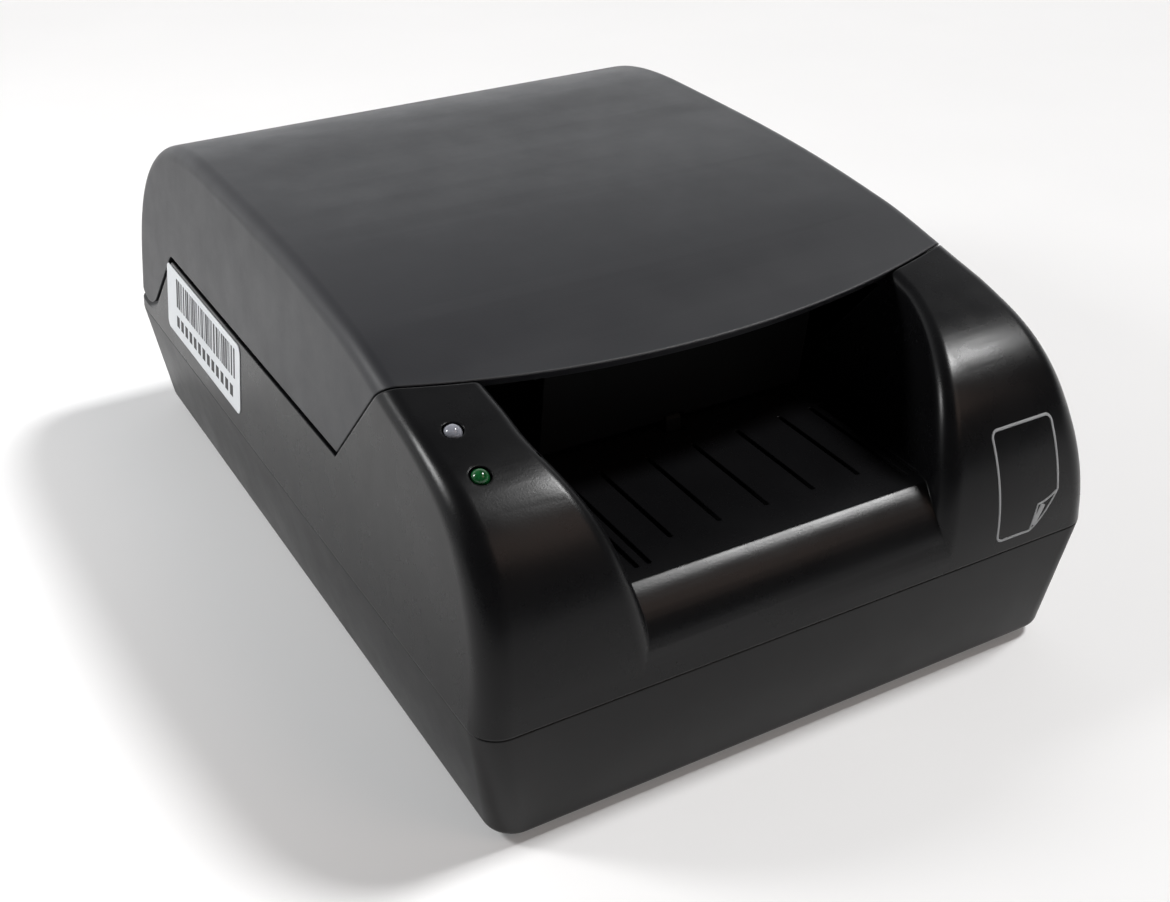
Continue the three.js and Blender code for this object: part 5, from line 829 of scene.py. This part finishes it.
def dust_specks(tree, share):
    """Small round specks in that share of the cells."""
    cells = added(tree, "TexVoronoi", {"Vector": place_of(tree), "Scale": DUST_SCALE})
    near = mapped(tree, cells.outputs["Distance"], *DUST_EDGE, 1.0, 0.0)
    split = added(tree, "SeparateColor", {"Color": cells.outputs["Color"]})
    chosen = mapped(tree, split.outputs["Red"], 1 - share, 1 - share + 0.01, 0.0, 1.0)
    return reckoned(tree, "MULTIPLY", near, chosen)


def moulded(name, dark, light, rough, grain_scale, grain_depth, dust=0.0, gloss_level=0.5):
    """Moulded plastic: fine grain, faint cloudiness in colour and gloss, and specks of dust."""
    material, tree, shader = principled(name)
    colour = varied(tree, noise(tree, CLOUD_SCALE, 3.0), dark, light, CLOUD_SPAN)
    grain = noise(tree, grain_scale, 3.0, 0.6)
    wear = noise(tree, WEAR_SCALE, 4.0, 0.6)
    gloss = mapped(tree, wear, *NOISE_SPAN, rough - GLOSS_SPREAD, rough + GLOSS_SPREAD)
    if dust > 0.0:
        colour = blended(tree, dust_specks(tree, dust), colour, DUST_GREY)
    feed(tree, shader, {"Base Color": colour, "Roughness": gloss, "Specular IOR Level": gloss_level})
    bumped(tree, shader, grain, grain_depth, EDGE_ROUNDING)
    return material


def metal(name, colour, other, rough, scale, streak):
    """Metal with fine streaks in colour, gloss and relief."""
    material, tree, shader = principled(name)
    lines = noise(tree, scale, 4.0, streak=streak)
    mixed = varied(tree, lines, colour, other)
    gloss = mapped(tree, lines, *NOISE_SPAN, rough - 0.06, rough + 0.08)
    feed(tree, shader, {"Base Color": mixed, "Roughness": gloss, "Metallic": 1.0})
    bumped(tree, shader, lines, FINE_RELIEF)
    return material


def lens(name, colour, tint, transmission):
    """The slightly cloudy plastic of a light."""
    material, tree, shader = principled(name)
    cloud = noise(tree, 900.0)
    mixed = varied(tree, cloud, colour, tint)
    feed(tree, shader, {"Base Color": mixed, "Roughness": 0.12, "Transmission Weight": transmission})
    bumped(tree, shader, cloud, FINE_RELIEF)
    return material


def circuit_board():
    """Green lacquer over a pattern of tracks."""
    material, tree, shader = principled("board_green")
    tracks = added(tree, "TexBrick", {
        "Vector": place_of(tree), "Scale": 420.0, "Color1": (0.012, 0.08, 0.03, 1.0),
        "Color2": (0.014, 0.095, 0.036, 1.0), "Mortar": (0.03, 0.16, 0.06, 1.0),
    })
    feed(tree, shader, {"Base Color": tracks.outputs["Color"], "Roughness": 0.4})
    bumped(tree, shader, tracks.outputs["Fac"], 2 * FINE_RELIEF)
    return material


looks = {name: moulded(name, *values) for name, values in PLASTICS.items()}
looks.update({name: metal(name, *values) for name, values in METALS.items()})
looks.update({name: lens(name, *values) for name, values in LENSES.items()})
looks["board_green"] = circuit_board()
# The looks of those slots that have another name
LOOK_OF_SLOT = {
    "shell": "shell_black", "cover": "cover_slate", "inner_plastic": "frame_black", "rubber": "rubber_black",
    "gear_plastic": "gear_white", "platen": "platen_white", "circuit_board": "board_green",
    "socket_plastic": "socket_black",
}


# Cover

def frame_bosses():
    radius = FRAME_SCREW_RADIUS + FIT + BOSS_WALL
    return [rod_z(radius, FRAME_CUP_TOP + FIT, FAR, x, y) for x, y in FRAME_SCREWS]


def top_cover():
    outer = upper_body(0.0, SEAM)
    inner = upper_body(WALL, SEAM - WALL)
    room = cover_room(0.0, 0.0, EAR_INNER_X, SKIRT + REAR_SKIRT_RISE, False)
    skirt, skirt_inside = skirt_outline(0.0, False), skirt_outline(-WALL, False)
    inside = []
    for side in SIDES:
        x0, x1 = span(side, EAR_INNER_X, HALF_WIDTH)
        zone = block(x0, x1, EAR_PEAK_Y, FAR, 0.0, EAR_CHEEK_Z)
        cheek = prism_x(skirt, *span(side, EAR_INNER_X, EAR_INNER_X + EAR_CHEEK))
        rim = cut(prism_x(skirt, x0, x1), prism_x(skirt_inside, x0 - OVERCUT, x1 + OVERCUT))
        boss = rod_x(PIN_RADIUS + FIT + PIN_BOSS_WALL, x0, x1, HINGE_Y, HINGE_Z)
        inside.append(common(joined(cheek, rim, boss), zone))
    half = RIB_THICKNESS / 2
    for side in SIDES:
        x = side * RIB_X
        inside.append(block(x - half, x + half, RIB_FRONT_Y, RIB_REAR_Y, SKIRT + WALL, FAR))
    for i in range(CROSS_RIBS):
        y = lerp(RIB_FRONT_Y, RIB_REAR_Y, i / (CROSS_RIBS - 1))
        inside.append(block(-RIB_X, RIB_X, y - half, y + half, SKIRT + WALL, FAR))
    rib_room = common(
        upper_body(WALL + RIB_DEPTH, SEAM - WALL),
        block(-HALF_WIDTH, HALF_WIDTH, -FAR, EAR_PEAK_Y, 0.0, FAR),
    )
    ribs = joined(cut(joined(*inside), rib_room), *frame_bosses())
    cover = joined(common(common(cut(outer, inner), room), behind_chamfer()), common(ribs, outer))
    for x, y in FRAME_SCREWS:
        top = FRAME_CUP_TOP + FRAME_SCREW_REACH
        cover = cut(cover, rod_z(FRAME_SCREW_RADIUS + FIT, FRAME_CUP_TOP - OVERCUT, top, x, y))
    for side in SIDES:
        x0, x1 = span(side, EAR_INNER_X - OVERCUT, PIN_OUTER_X + FIT)
        cover = cut(cover, rod_x(PIN_RADIUS + FIT, x0, x1, HINGE_Y, HINGE_Z))
    return cover


# Middle casing

def seam_tongue():
    """A thin rim that stands down inside the base's wall all round the seam."""
    outside = WALL + FIT + TONGUE_DEPTH / BASE_HEIGHT * BASE_TAPER_SIDE

    def ring(inset):
        x, y = HALF_WIDTH - inset, HALF_DEPTH - inset
        return rounded_outline(-x, x, -y, y, CORNER - WALL)

    low, high = SEAM - TONGUE_DEPTH, SEAM + WALL
    return cut(
        prism_z(ring(outside), low, high),
        prism_z(ring(outside + TONGUE_THICKNESS), low - OVERCUT, high + OVERCUT),
    )


def slot_outline(x, width, y0, y1):
    radius = width / 2
    return (
        arc(x, y1 - radius, radius, 0.0, pi, GROOVE_STEPS)
        + arc(x, y0 + radius, radius, pi, 2 * pi, GROOVE_STEPS)
    )


def card_grooves():
    def groove(x, front):
        return prism_z(slot_outline(x, GROOVE_WIDTH, front, GROOVE_REAR_Y), BED - GROOVE_DEPTH, BED + OVERCUT)

    grooves = [groove((i - GROOVES // 2) * GROOVE_PITCH, GROOVE_FRONT_Y) for i in range(GROOVES)]
    for side in SIDES:
        grooves.append(groove(side * EDGE_GROOVE_X, EDGE_GROOVE_Y))
        grooves.append(groove(side * (RECESS_HALF - GROOVE_WIDTH / 2), EDGE_GROOVE_Y))
    return grooves


def bed_openings():
    """Windows for the sensor and the rollers, and the card flag's slot."""
    z0, z1 = BED_BELOW - OVERCUT, BED + OVERCUT
    half_chord = sqrt(ROLLER_RADIUS**2 - (BED_BELOW - SHAFT_Z) ** 2) + SLOT_CLEARANCE
    half_length = ROLLER_LENGTH / 2 + SLOT_CLEARANCE
    half_x, half_y = GLASS_LENGTH / 2 + FIT, GLASS_WIDTH / 2 + FIT
    openings = [post(0.0, SENSOR_Y, half_x, half_y, z0, z1)]
    for y in (ENTRY_Y, TRANSPORT_Y):
        openings += [post(x, y, half_length, half_chord, z0, z1) for x in (-ROLLER_X, ROLLER_X)]
    half = FLAG_WIDTH / 2 + SLOT_CLEARANCE
    rear = FLAG_Y + FLAG_SWEEP + SLOT_CLEARANCE
    openings.append(block(-half, half, FLAG_Y - FLAG_SLOT_FRONT, rear, z0, z1))
    return openings


def light_matrix(place):
    """Sets a body on the left shoulder at that (x, y), square to the slope there."""
    drop = surface_height(LED_CLEAR[1]) - surface_height(LED_GREEN[1])
    tilt = atan2(drop, LED_CLEAR[1] - LED_GREEN[1])
    spot = Vector((*place, surface_height(place[1])))
    return Matrix.Translation(spot) @ Matrix.Rotation(tilt, 4, "X")


def front_ledges():
    """Ledges on under the cover's front edge and ribs inside its skirts, so that no light shows there."""
    top = WALL + LEDGE_DROP
    strip = common(
        cut(upper_body(top, SEAM), upper_body(top + LEDGE_THICKNESS, SEAM - WALL)),
        cut(behind_front_edge(FRONT_GAP + WALL / 2), behind_front_edge(-LEDGE_REACH)),
    )
    ledges = []
    for side in SIDES:
        zone = block(*span(side, SHOULDER_INNER_X, HALF_WIDTH), -HALF_DEPTH, 0.0, LEDGE_LOW_Z, FAR)
        ledges.append(common(strip, zone))
        ledges.append(block(*span(side, *SIDE_RIB_X), *SIDE_RIB_Y, DECK - WALL, SIDE_RIB_TOP))
    return ledges


def casing_supports(joint_z, ear_inner):
    """Bosses for screws, hinge pins and side plates, and the card flag's brackets."""
    supports = [rod_z(SCREW_RADIUS + FIT + BOSS_WALL, joint_z, FAR, x, y) for x, y in SCREW_PLACES]
    top, near, half = BED_BELOW + ROOT, FLAG_WIDTH / 2 + FIT, BRACKET_HALF
    for side in SIDES:
        x0, x1 = span(side, PIN_INNER_X - WALL, ear_inner)
        supports.append(rod_x(PIN_RADIUS + FIT + PIN_BOSS_WALL, x0, x1, HINGE_Y, HINGE_Z))
        x0, x1 = span(side, near, near + BRACKET_THICKNESS)
        supports.append(block(x0, x1, FLAG_Y - half, FLAG_Y + half, FLAG_Z - half, top))
    half = PLATE_BOSS_WIDTH / 2
    for y, side in PLATE_SCREWS:
        x0, x1 = span(side, PLATE_X - FIT - PLATE_BOSS_LENGTH, PLATE_X - FIT)
        supports.append(block(x0, x1, y - half, y + half, BED_BELOW - PLATE_BOSS_DROP, top))
    return joined(*supports)


def casing_holes(joint_z, ear_inner):
    """Holes for the screws, the pins and the lights."""
    top = BASE_Z + SCREW_HEAD_DEPTH + SCREW_LENGTH + FIT
    holes = [rod_z(SCREW_RADIUS + FIT, joint_z - OVERCUT, top, x, y) for x, y in SCREW_PLACES]
    for side in SIDES:
        x0, x1 = span(side, PIN_INNER_X - FIT, ear_inner + OVERCUT)
        holes.append(rod_x(PIN_RADIUS + FIT, x0, x1, HINGE_Y, HINGE_Z))
    for y, side in PLATE_SCREWS:
        x0, x1 = span(side, PLATE_X - FIT - PLATE_BOSS_LENGTH - OVERCUT, PLATE_X)
        holes.append(rod_x(PLATE_SCREW_RADIUS + FIT, x0, x1, y, PLATE_SCREW_Z))
    holes.append(rod_x(FLAG_HOLE_RADIUS, -FLAG_HOLE_HALF, FLAG_HOLE_HALF, FLAG_Y, FLAG_Z))
    radius = LED_RADIUS + FIT
    for place in (LED_CLEAR, LED_GREEN):
        holes.append(turned([
            (radius, -WALL - 2 * OVERCUT), (radius, -LED_SINK_DEPTH), (LED_SINK_RADIUS, 0.0),
            (LED_SINK_RADIUS, OVERCUT),
        ], light_matrix(place)))
    return holes


def middle_casing():
    bottom = SEAM + SEAM_GAP / 2
    ear_inner = EAR_INNER_X - EAR_SIDE_GAP
    half = SHOULDER_INNER_X + WALL
    cover_space = cover_room(COVER_GAP, FRONT_GAP, ear_inner, DECK, True)
    centre = common(prism_x(centre_outline(0.0, bottom), -half, half), upper_body(0.0, bottom))
    outside = cut(joined(shoulder(-1, 0.0, bottom), shoulder(1, 0.0, bottom), centre), cover_space)
    low = SEAM - WALL
    hollow = cut(
        joined(shoulder(-1, WALL, low), shoulder(1, WALL, low)),
        cover_room(COVER_GAP + WALL, FRONT_GAP + WALL, ear_inner - WALL, DECK - WALL, True),
    )
    hollow_centre = common(prism_x(centre_outline(WALL, low), -half, half), upper_body(WALL, low))
    cavity = joined(hollow, hollow_centre)
    casing = joined(cut(outside, cavity), cut(seam_tongue(), cover_space), *front_ledges())
    joint_z = BASE_Z + BOSS_JOINT_HEIGHT + FIT
    below = post(0.0, 0.0, HALF_WIDTH, HALF_DEPTH, 0.0, SEAM + SEAM_GAP)
    casing = joined(casing, common(casing_supports(joint_z, ear_inner), joined(outside, below)))
    return cut(casing, *bed_openings(), *card_grooves(), *casing_holes(joint_z, ear_inner))


# Base casing

def base_ring(z, inset):
    """The tapered base's outline at that height, drawn in by the inset."""
    share = (SEAM - z) / BASE_HEIGHT
    x = HALF_WIDTH - BASE_TAPER_SIDE * share - inset
    y = HALF_DEPTH - BASE_TAPER_END * share - inset
    return [(u, v, z) for u, v in rounded_outline(-x, x, -y, y, CORNER - inset, BASE_CORNER_STEPS)]


def base_casing():
    rings = []
    for i in range(UNDERSIDE_STEPS + 1):
        turn = i / UNDERSIDE_STEPS * QUARTER
        inset = UNDERSIDE_EDGE * (1 - cos(turn))
        rings.insert(0, base_ring(BASE_Z + UNDERSIDE_EDGE * (1 - sin(turn)), inset))
    rings += [base_ring(SEAM - SEAM_GAP / 2 - drop, inset) for drop, inset in SEAM_EDGE]
    floor = BASE_Z + WALL
    root = floor - ROOT
    shell = cut(loft(rings), loft([base_ring(floor, WALL), base_ring(SEAM + OVERCUT, WALL)]))
    radius, top = SCREW_HEAD_RADIUS + FIT + BOSS_WALL, BASE_Z + BOSS_JOINT_HEIGHT
    supports = [rod_z(radius, root, top, x, y) for x, y in SCREW_PLACES]
    top = floor + STUD_HEIGHT
    supports += [rod_z(STUD_RADIUS, root, top, x, y) for x in STUD_X for y in STUD_Y]
    top = FLAG_Z - STAND_DROP - FIT
    supports.append(post(0.0, FLAG_Y, STAND_X, STAND_Y, root, top))
    holes = []
    for x, y in SCREW_PLACES:
        holes.append(rod_z(SCREW_HEAD_RADIUS + FIT, 0.0, BASE_Z + SCREW_HEAD_DEPTH + FIT, x, y))
        holes.append(rod_z(SCREW_RADIUS + FIT, 0.0, SEAM, x, y))
    for x, y in FOOT_PLACES.values():
        holes.append(rod_z(FOOT_RADIUS + FIT, 0.0, BASE_Z + FOOT_RECESS, x, y))
    inner = HALF_DEPTH - BASE_TAPER_END - WALL - OVERCUT
    top = BOARD_TOP + SOCKET_HEIGHT + SOCKET_CLEARANCE
    for x, half in SOCKETS:
        half += SOCKET_CLEARANCE
        holes.append(block(x - half, x + half, inner, FAR, BOARD_TOP, top))
    return cut(joined(shell, *supports), *holes)


# Small pieces

def foot(x, y):
    """A rubber disk with a rounded lower edge."""
    top = BASE_Z + FOOT_RECESS - FIT
    flat, small = FOOT_RADIUS - FOOT_EDGE, 0.6
    edge = [(flat + FOOT_EDGE * sin(t), FOOT_EDGE - FOOT_EDGE * cos(t)) for t in FOOT_EDGE_TURNS]
    return turned([(small, 0.0), *edge, (FOOT_RADIUS, top), (small, top)], Matrix.Translation((x, y, 0.0)))


def light(place):
    """A light's domed lens, with a flange under the wall."""
    low = -WALL - 2 * FIT
    shoulder_z = LED_PROUD - LED_RADIUS
    turns = [i / DOME_STEPS * LED_DOME_TURN for i in range(1, DOME_STEPS + 1)]
    return turned([
        (FLANGE_RADIUS, low - FLANGE_THICKNESS), (FLANGE_RADIUS, low),
        (LED_RADIUS, low), (LED_RADIUS, shoulder_z),
        *[(LED_RADIUS * cos(t), shoulder_z + LED_RADIUS * sin(t)) for t in turns],
    ], light_matrix(place))


def roller(x, y, z, radius, length, bore):
    """A roller along X with chamfered ends."""
    half = length / 2
    rim, flank = radius - ROLLER_EDGE, half - ROLLER_EDGE
    outside = turned(
        [(rim, -half), (radius, -flank), (radius, flank), (rim, half)],
        Matrix.Translation((x, y, z)) @ Matrix.Rotation(QUARTER, 4, "Y"),
    )
    return cut(outside, rod_x(bore, x - half - OVERCUT, x + half + OVERCUT, y, z))


def leaf_spring(y):
    """A leaf whose bent ends press on the shaft, with the heights of its top and its lowest face."""
    low = PRESSER_Z + PRESSER_SHAFT_RADIUS + FIT
    high = PRESSER_Z + PRESSER_RADIUS + SPRING_OVER_ROLLER
    bend = ROLLER_X + PRESSER_LENGTH / 2
    shift = SPRING_THICKNESS / 2
    low_top, high_top = low + SPRING_THICKNESS, high + SPRING_THICKNESS
    half = [
        (bend, high), (SPRING_FOOT_X, low), (SPRING_END_X, low), (SPRING_END_X, low_top),
        (SPRING_FOOT_X + shift, low_top), (bend + shift, high_top),
    ]
    outline = half + [(-x, z) for x, z in reversed(half)]
    sides = [y + SPRING_WIDTH / 2, y - SPRING_WIDTH / 2]
    return loft([[(x, v, z) for x, z in outline] for v in sides]), high_top, low


def plate_screw(y, side):
    """A screw with a low domed head and a cross in it, through the side plate."""
    place = Matrix.Translation((side * PLATE_X, y, PLATE_SCREW_Z)) @ Matrix.Rotation(side * QUARTER, 4, "Y")
    face, shank, tip, rim = PLATE_THICKNESS, 1.15, -4.4, 2.3
    screw = turned([
        (shank, tip), (shank, face), (rim, face), (rim, face + 0.9), (1.9, face + 1.4), (0.4, face + 1.6),
    ], place)
    half_length, half_width, cross_low, cross_high = 1.5, 0.3, face + 0.8, face + 3.0
    for angle in (0.0, QUARTER):
        bar = post(0.0, 0.0, half_length, half_width, cross_low, cross_high)
        bar.transform(place @ Matrix.Rotation(angle, 4, "Z"))
        screw = cut(screw, bar)
    return screw


# Label on the left wall

def side_plate(outline, low, high):
    """A flat plate on the leaning left wall, from (y, z) points."""
    return loft([[(-outer_side(z) - out, y, z) for y, z in outline] for out in (low, high)])


def label_mark(y, width, low, high):
    return side_plate([(y, low), (y - width, low), (y - width, high), (y, high)], *MARK_LEVELS)


def label_marks():
    """Plain bars of varied width, and a row of short plain marks under them."""
    marks = []
    y, last_y, count = LABEL_Y1 - 6.5, LABEL_Y0 + 2.6, 0
    while y > last_y:
        width = BAR_WIDTHS[(count * 5 + count // 3) % len(BAR_WIDTHS)]
        marks.append(label_mark(y, width, LABEL_Z0 + 6.6, LABEL_Z1 - 1.6))
        y -= width + BAR_WIDTHS[(count * 4 + 2) % len(BAR_WIDTHS)] * 0.8 + 0.1
        count += 1
    for i in range(MARKS):
        marks.append(label_mark(LABEL_Y1 - 6.4 - i * MARK_PITCH, MARK_WIDTH, LABEL_Z0 + 2.2, LABEL_Z0 + 4.6))
    return joined(*marks)


# Page sign on the right shoulder's front

def nose_point(x, z, out):
    """The point of the casing's front at that height, moved outward."""
    if z <= NOSE_Z:
        return (x, -HALF_DEPTH - out, z)
    reach = NOSE_RADIUS + out
    turn = asin((z - NOSE_Z) / NOSE_RADIUS)
    return (x, NOSE_Y - reach * cos(turn), NOSE_Z + reach * sin(turn))


def ribbon(path, width):
    """A thin raised line along (x, z) points on the nose."""
    last = len(path) - 1
    rings = []
    for i, (x, z) in enumerate(path):
        before, after = path[max(i - 1, 0)], path[min(i + 1, last)]
        dx, dz = after[0] - before[0], after[1] - before[1]
        length = hypot(dx, dz)
        nx, nz = -dz / length * width / 2, dx / length * width / 2
        left, right = (x + nx, z + nz), (x - nx, z - nz)
        rings.append([
            nose_point(*left, -SIGN_PROUD), nose_point(*left, SIGN_PROUD),
            nose_point(*right, SIGN_PROUD), nose_point(*right, -SIGN_PROUD),
        ])
    return loft(rings)


def shares(count):
    return [i / count for i in range(1, count + 1)]


def page_sign():
    """A page's outline, whose lower right corner curls up over a short broad line as its shade."""
    x0, x1 = SIGN_X
    z0, z1 = SIGN_Z
    fold_z = z0 + FOLD_HEIGHT
    start_x, curl_x, curl_drop = FOLD_X - 0.4, FOLD_X + 0.9, 1.6
    left, right, low, high = x0 + SIGN_CORNER, x1 - SIGN_CORNER, z0 + SIGN_CORNER, z1 - SIGN_CORNER
    outline = [(start_x, z0)]
    outline += arc(left, low, SIGN_CORNER, -QUARTER, -2 * QUARTER, CORNER_STEPS)
    outline += [(x0, lerp(z0, z1, t)) for t in shares(10)[:-1]]
    outline += arc(left, high, SIGN_CORNER, 2 * QUARTER, QUARTER, CORNER_STEPS)
    outline += arc(right, high, SIGN_CORNER, QUARTER, 0.0, CORNER_STEPS)
    outline += [(x1, lerp(z1, fold_z, t)) for t in shares(8)]
    curl = [(lerp(x1, curl_x, t), fold_z - curl_drop * sin(t * QUARTER)) for t in shares(8)]
    down = [(curl_x - 1.3 * t, lerp(curl[-1][1], z0, t)) for t in shares(6)]
    slant = [(lerp(start_x, x1, t), lerp(z0, fold_z, t**1.3)) for t in [0.0, *shares(12)]]
    shade = [(FOLD_X + 0.2 + 1.9 * t, z0 + 0.9 + 3.6 * t) for t in (0.0, 0.35, 0.7, 1.0)]
    return joined(
        ribbon(outline, SIGN_LINE), ribbon([outline[-1], *curl, *down], FOLD_LINE),
        ribbon(slant, FOLD_LINE), ribbon(shade, FOLD_SHADE),
    )


# Stage

def add_light(name, kind, power, matrix):
    data = bpy.data.lights.new(name, kind)
    data.energy = power
    linked(name, data).matrix_world = matrix
    return data


def facing_back(place):
    """Turns a lamp that stands in that direction towards the part."""
    return Vector(place).to_track_quat("Z", "Y").to_matrix().to_4x4()


def add_sun(name, strength, breadth, toward, colour=(1.0, 1.0, 1.0)):
    """A distant soft lamp: its irradiance, its breadth in degrees and its direction from the part."""
    data = add_light(name, "SUN", strength, facing_back(toward))
    data.color = colour
    data.angle = radians(breadth)


def add_lamp(name, power, breadth, place):
    """A round soft lamp near the part: its power in watts, its breadth and place in metres."""
    data = add_light(name, "AREA", power, Matrix.Translation(place) @ facing_back(place))
    data.shape = "DISK"
    data.size = breadth


def add_floor():
    """A pale floor that looks lighter to the camera and in reflections, and lights nothing more."""
    mesh = bpy.data.meshes.new("floor")
    corners = [(x * FLOOR_HALF, y * FLOOR_HALF, 0.0) for x, y in ((-1, -1), (1, -1), (1, 1), (-1, 1))]
    mesh.from_pydata(corners, [], [(0, 1, 2, 3)])
    floor = linked("floor", mesh)
    material, tree, shader = principled("floor_white")
    colour = varied(tree, noise(tree, 20.0, 3.0), (0.85, 0.85, 0.85), (0.865, 0.865, 0.865))
    rays = tree.nodes.new("ShaderNodeLightPath")
    seen = rays.outputs["Is Camera Ray"]
    for kind in ("Is Glossy Ray", "Is Transmission Ray"):
        seen = reckoned(tree, "ADD", seen, rays.outputs[kind])
    lift = mapped(tree, seen, 0.0, 1.0, 0.0, FLOOR_LIFT)
    feed(tree, shader, {
        "Base Color": colour, "Roughness": 0.9, "Specular IOR Level": 0.1, "Emission Strength": lift,
        "Emission Color": (1.0, 1.0, 1.0, 1.0),
    })
    mesh.materials.append(material)


def add_world():
    """A dim room, lightest low down behind the part, and pale all round the horizon."""
    world = bpy.data.worlds.new("studio")
    world.use_nodes = True
    scene.world = world
    tree = world.node_tree
    direction = tree.nodes.new("ShaderNodeTexCoord").outputs["Generated"]
    split = added(tree, "SeparateXYZ", {"Vector": direction})
    depth, height = split.outputs["Y"], split.outputs["Z"]
    behind = mapped(tree, depth, *DEPTH_SPAN, WORLD_FRONT, 1.0)
    low = mapped(tree, height, *HEIGHT_SPAN, WORLD_LOW, WORLD_HIGH)
    horizon = mapped(tree, height, *HORIZON_SPAN, 1.0, 0.0)
    strength = reckoned(tree, "MAXIMUM", reckoned(tree, "MULTIPLY", behind, low), horizon)
    feed(tree, tree.nodes["Background"], {"Color": (0.97, 0.98, 1.0, 1.0), "Strength": strength})


# Assembly

add_camera()
add_floor()
add_world()
add_sun("overhead", strength=2.5, breadth=12.0, toward=(0.55, -0.08, 0.83))
add_sun("warm_bounce", strength=0.25, breadth=26.0, toward=(0.39, -0.6, 0.69), colour=(1.0, 0.74, 0.62))
add_lamp("left_key", power=0.6, breadth=0.085, place=(-0.29, 0.09, 0.25))
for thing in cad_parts.values():
    slot = thing.data.materials[0].name
    thing.data.materials[0] = looks[LOOK_OF_SLOT.get(slot, slot)]
fine("top_cover", top_cover(), "cover", "cover_slate")
fine("middle_casing", middle_casing(), "base", "shell_black")
fine("base_casing", base_casing(), "base", "base_black")
for corner, place in FOOT_PLACES.items():
    fine(f"foot_{corner}", foot(*place), "base", "rubber_black")
for kind, spot in (("clear", LED_CLEAR), ("green", LED_GREEN)):
    slot = f"{kind}_lens"
    piece(f"fine_light_{kind}", light(spot), "base", slot, f"status_light_{kind}", DOME_ANGLE)
for stage, stage_y in (("entry", ENTRY_Y), ("transport", TRANSPORT_Y)):
    for side_name, side_x in (("left", -ROLLER_X), ("right", ROLLER_X)):
        form = roller(side_x, stage_y, SHAFT_Z, ROLLER_RADIUS, ROLLER_LENGTH, SHAFT_RADIUS + FIT)
        fine(f"{stage}_roller_{side_name}", form, f"{stage}_roller", "rubber_black")
        form = roller(side_x, stage_y, PRESSER_Z, PRESSER_RADIUS, PRESSER_LENGTH, PRESSER_SHAFT_RADIUS + FIT)
        rollers = f"{stage}_presser_rollers"
        fine(f"{stage}_presser_{side_name}", form, rollers, "frame_black")
    form, top, low = leaf_spring(stage_y)
    spring = fine(f"{stage}_presser_spring", form, "cover", "steel")
    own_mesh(spring)
for number, (screw_y, screw_side) in enumerate(PLATE_SCREWS):
    piece(f"plate_screw_{number + 1}", plate_screw(screw_y, screw_side), "base", "zinc")
label = side_plate(rounded_outline(LABEL_Y0, LABEL_Y1, LABEL_Z0, LABEL_Z1, LABEL_CORNER), *LABEL_LEVELS)
piece("label", label, "base", "label_paper")
piece("label_marks", label_marks(), "base", "label_ink")
piece("page_sign", page_sign(), "base", "print_grey")

scene.view_settings.view_transform = "Standard"
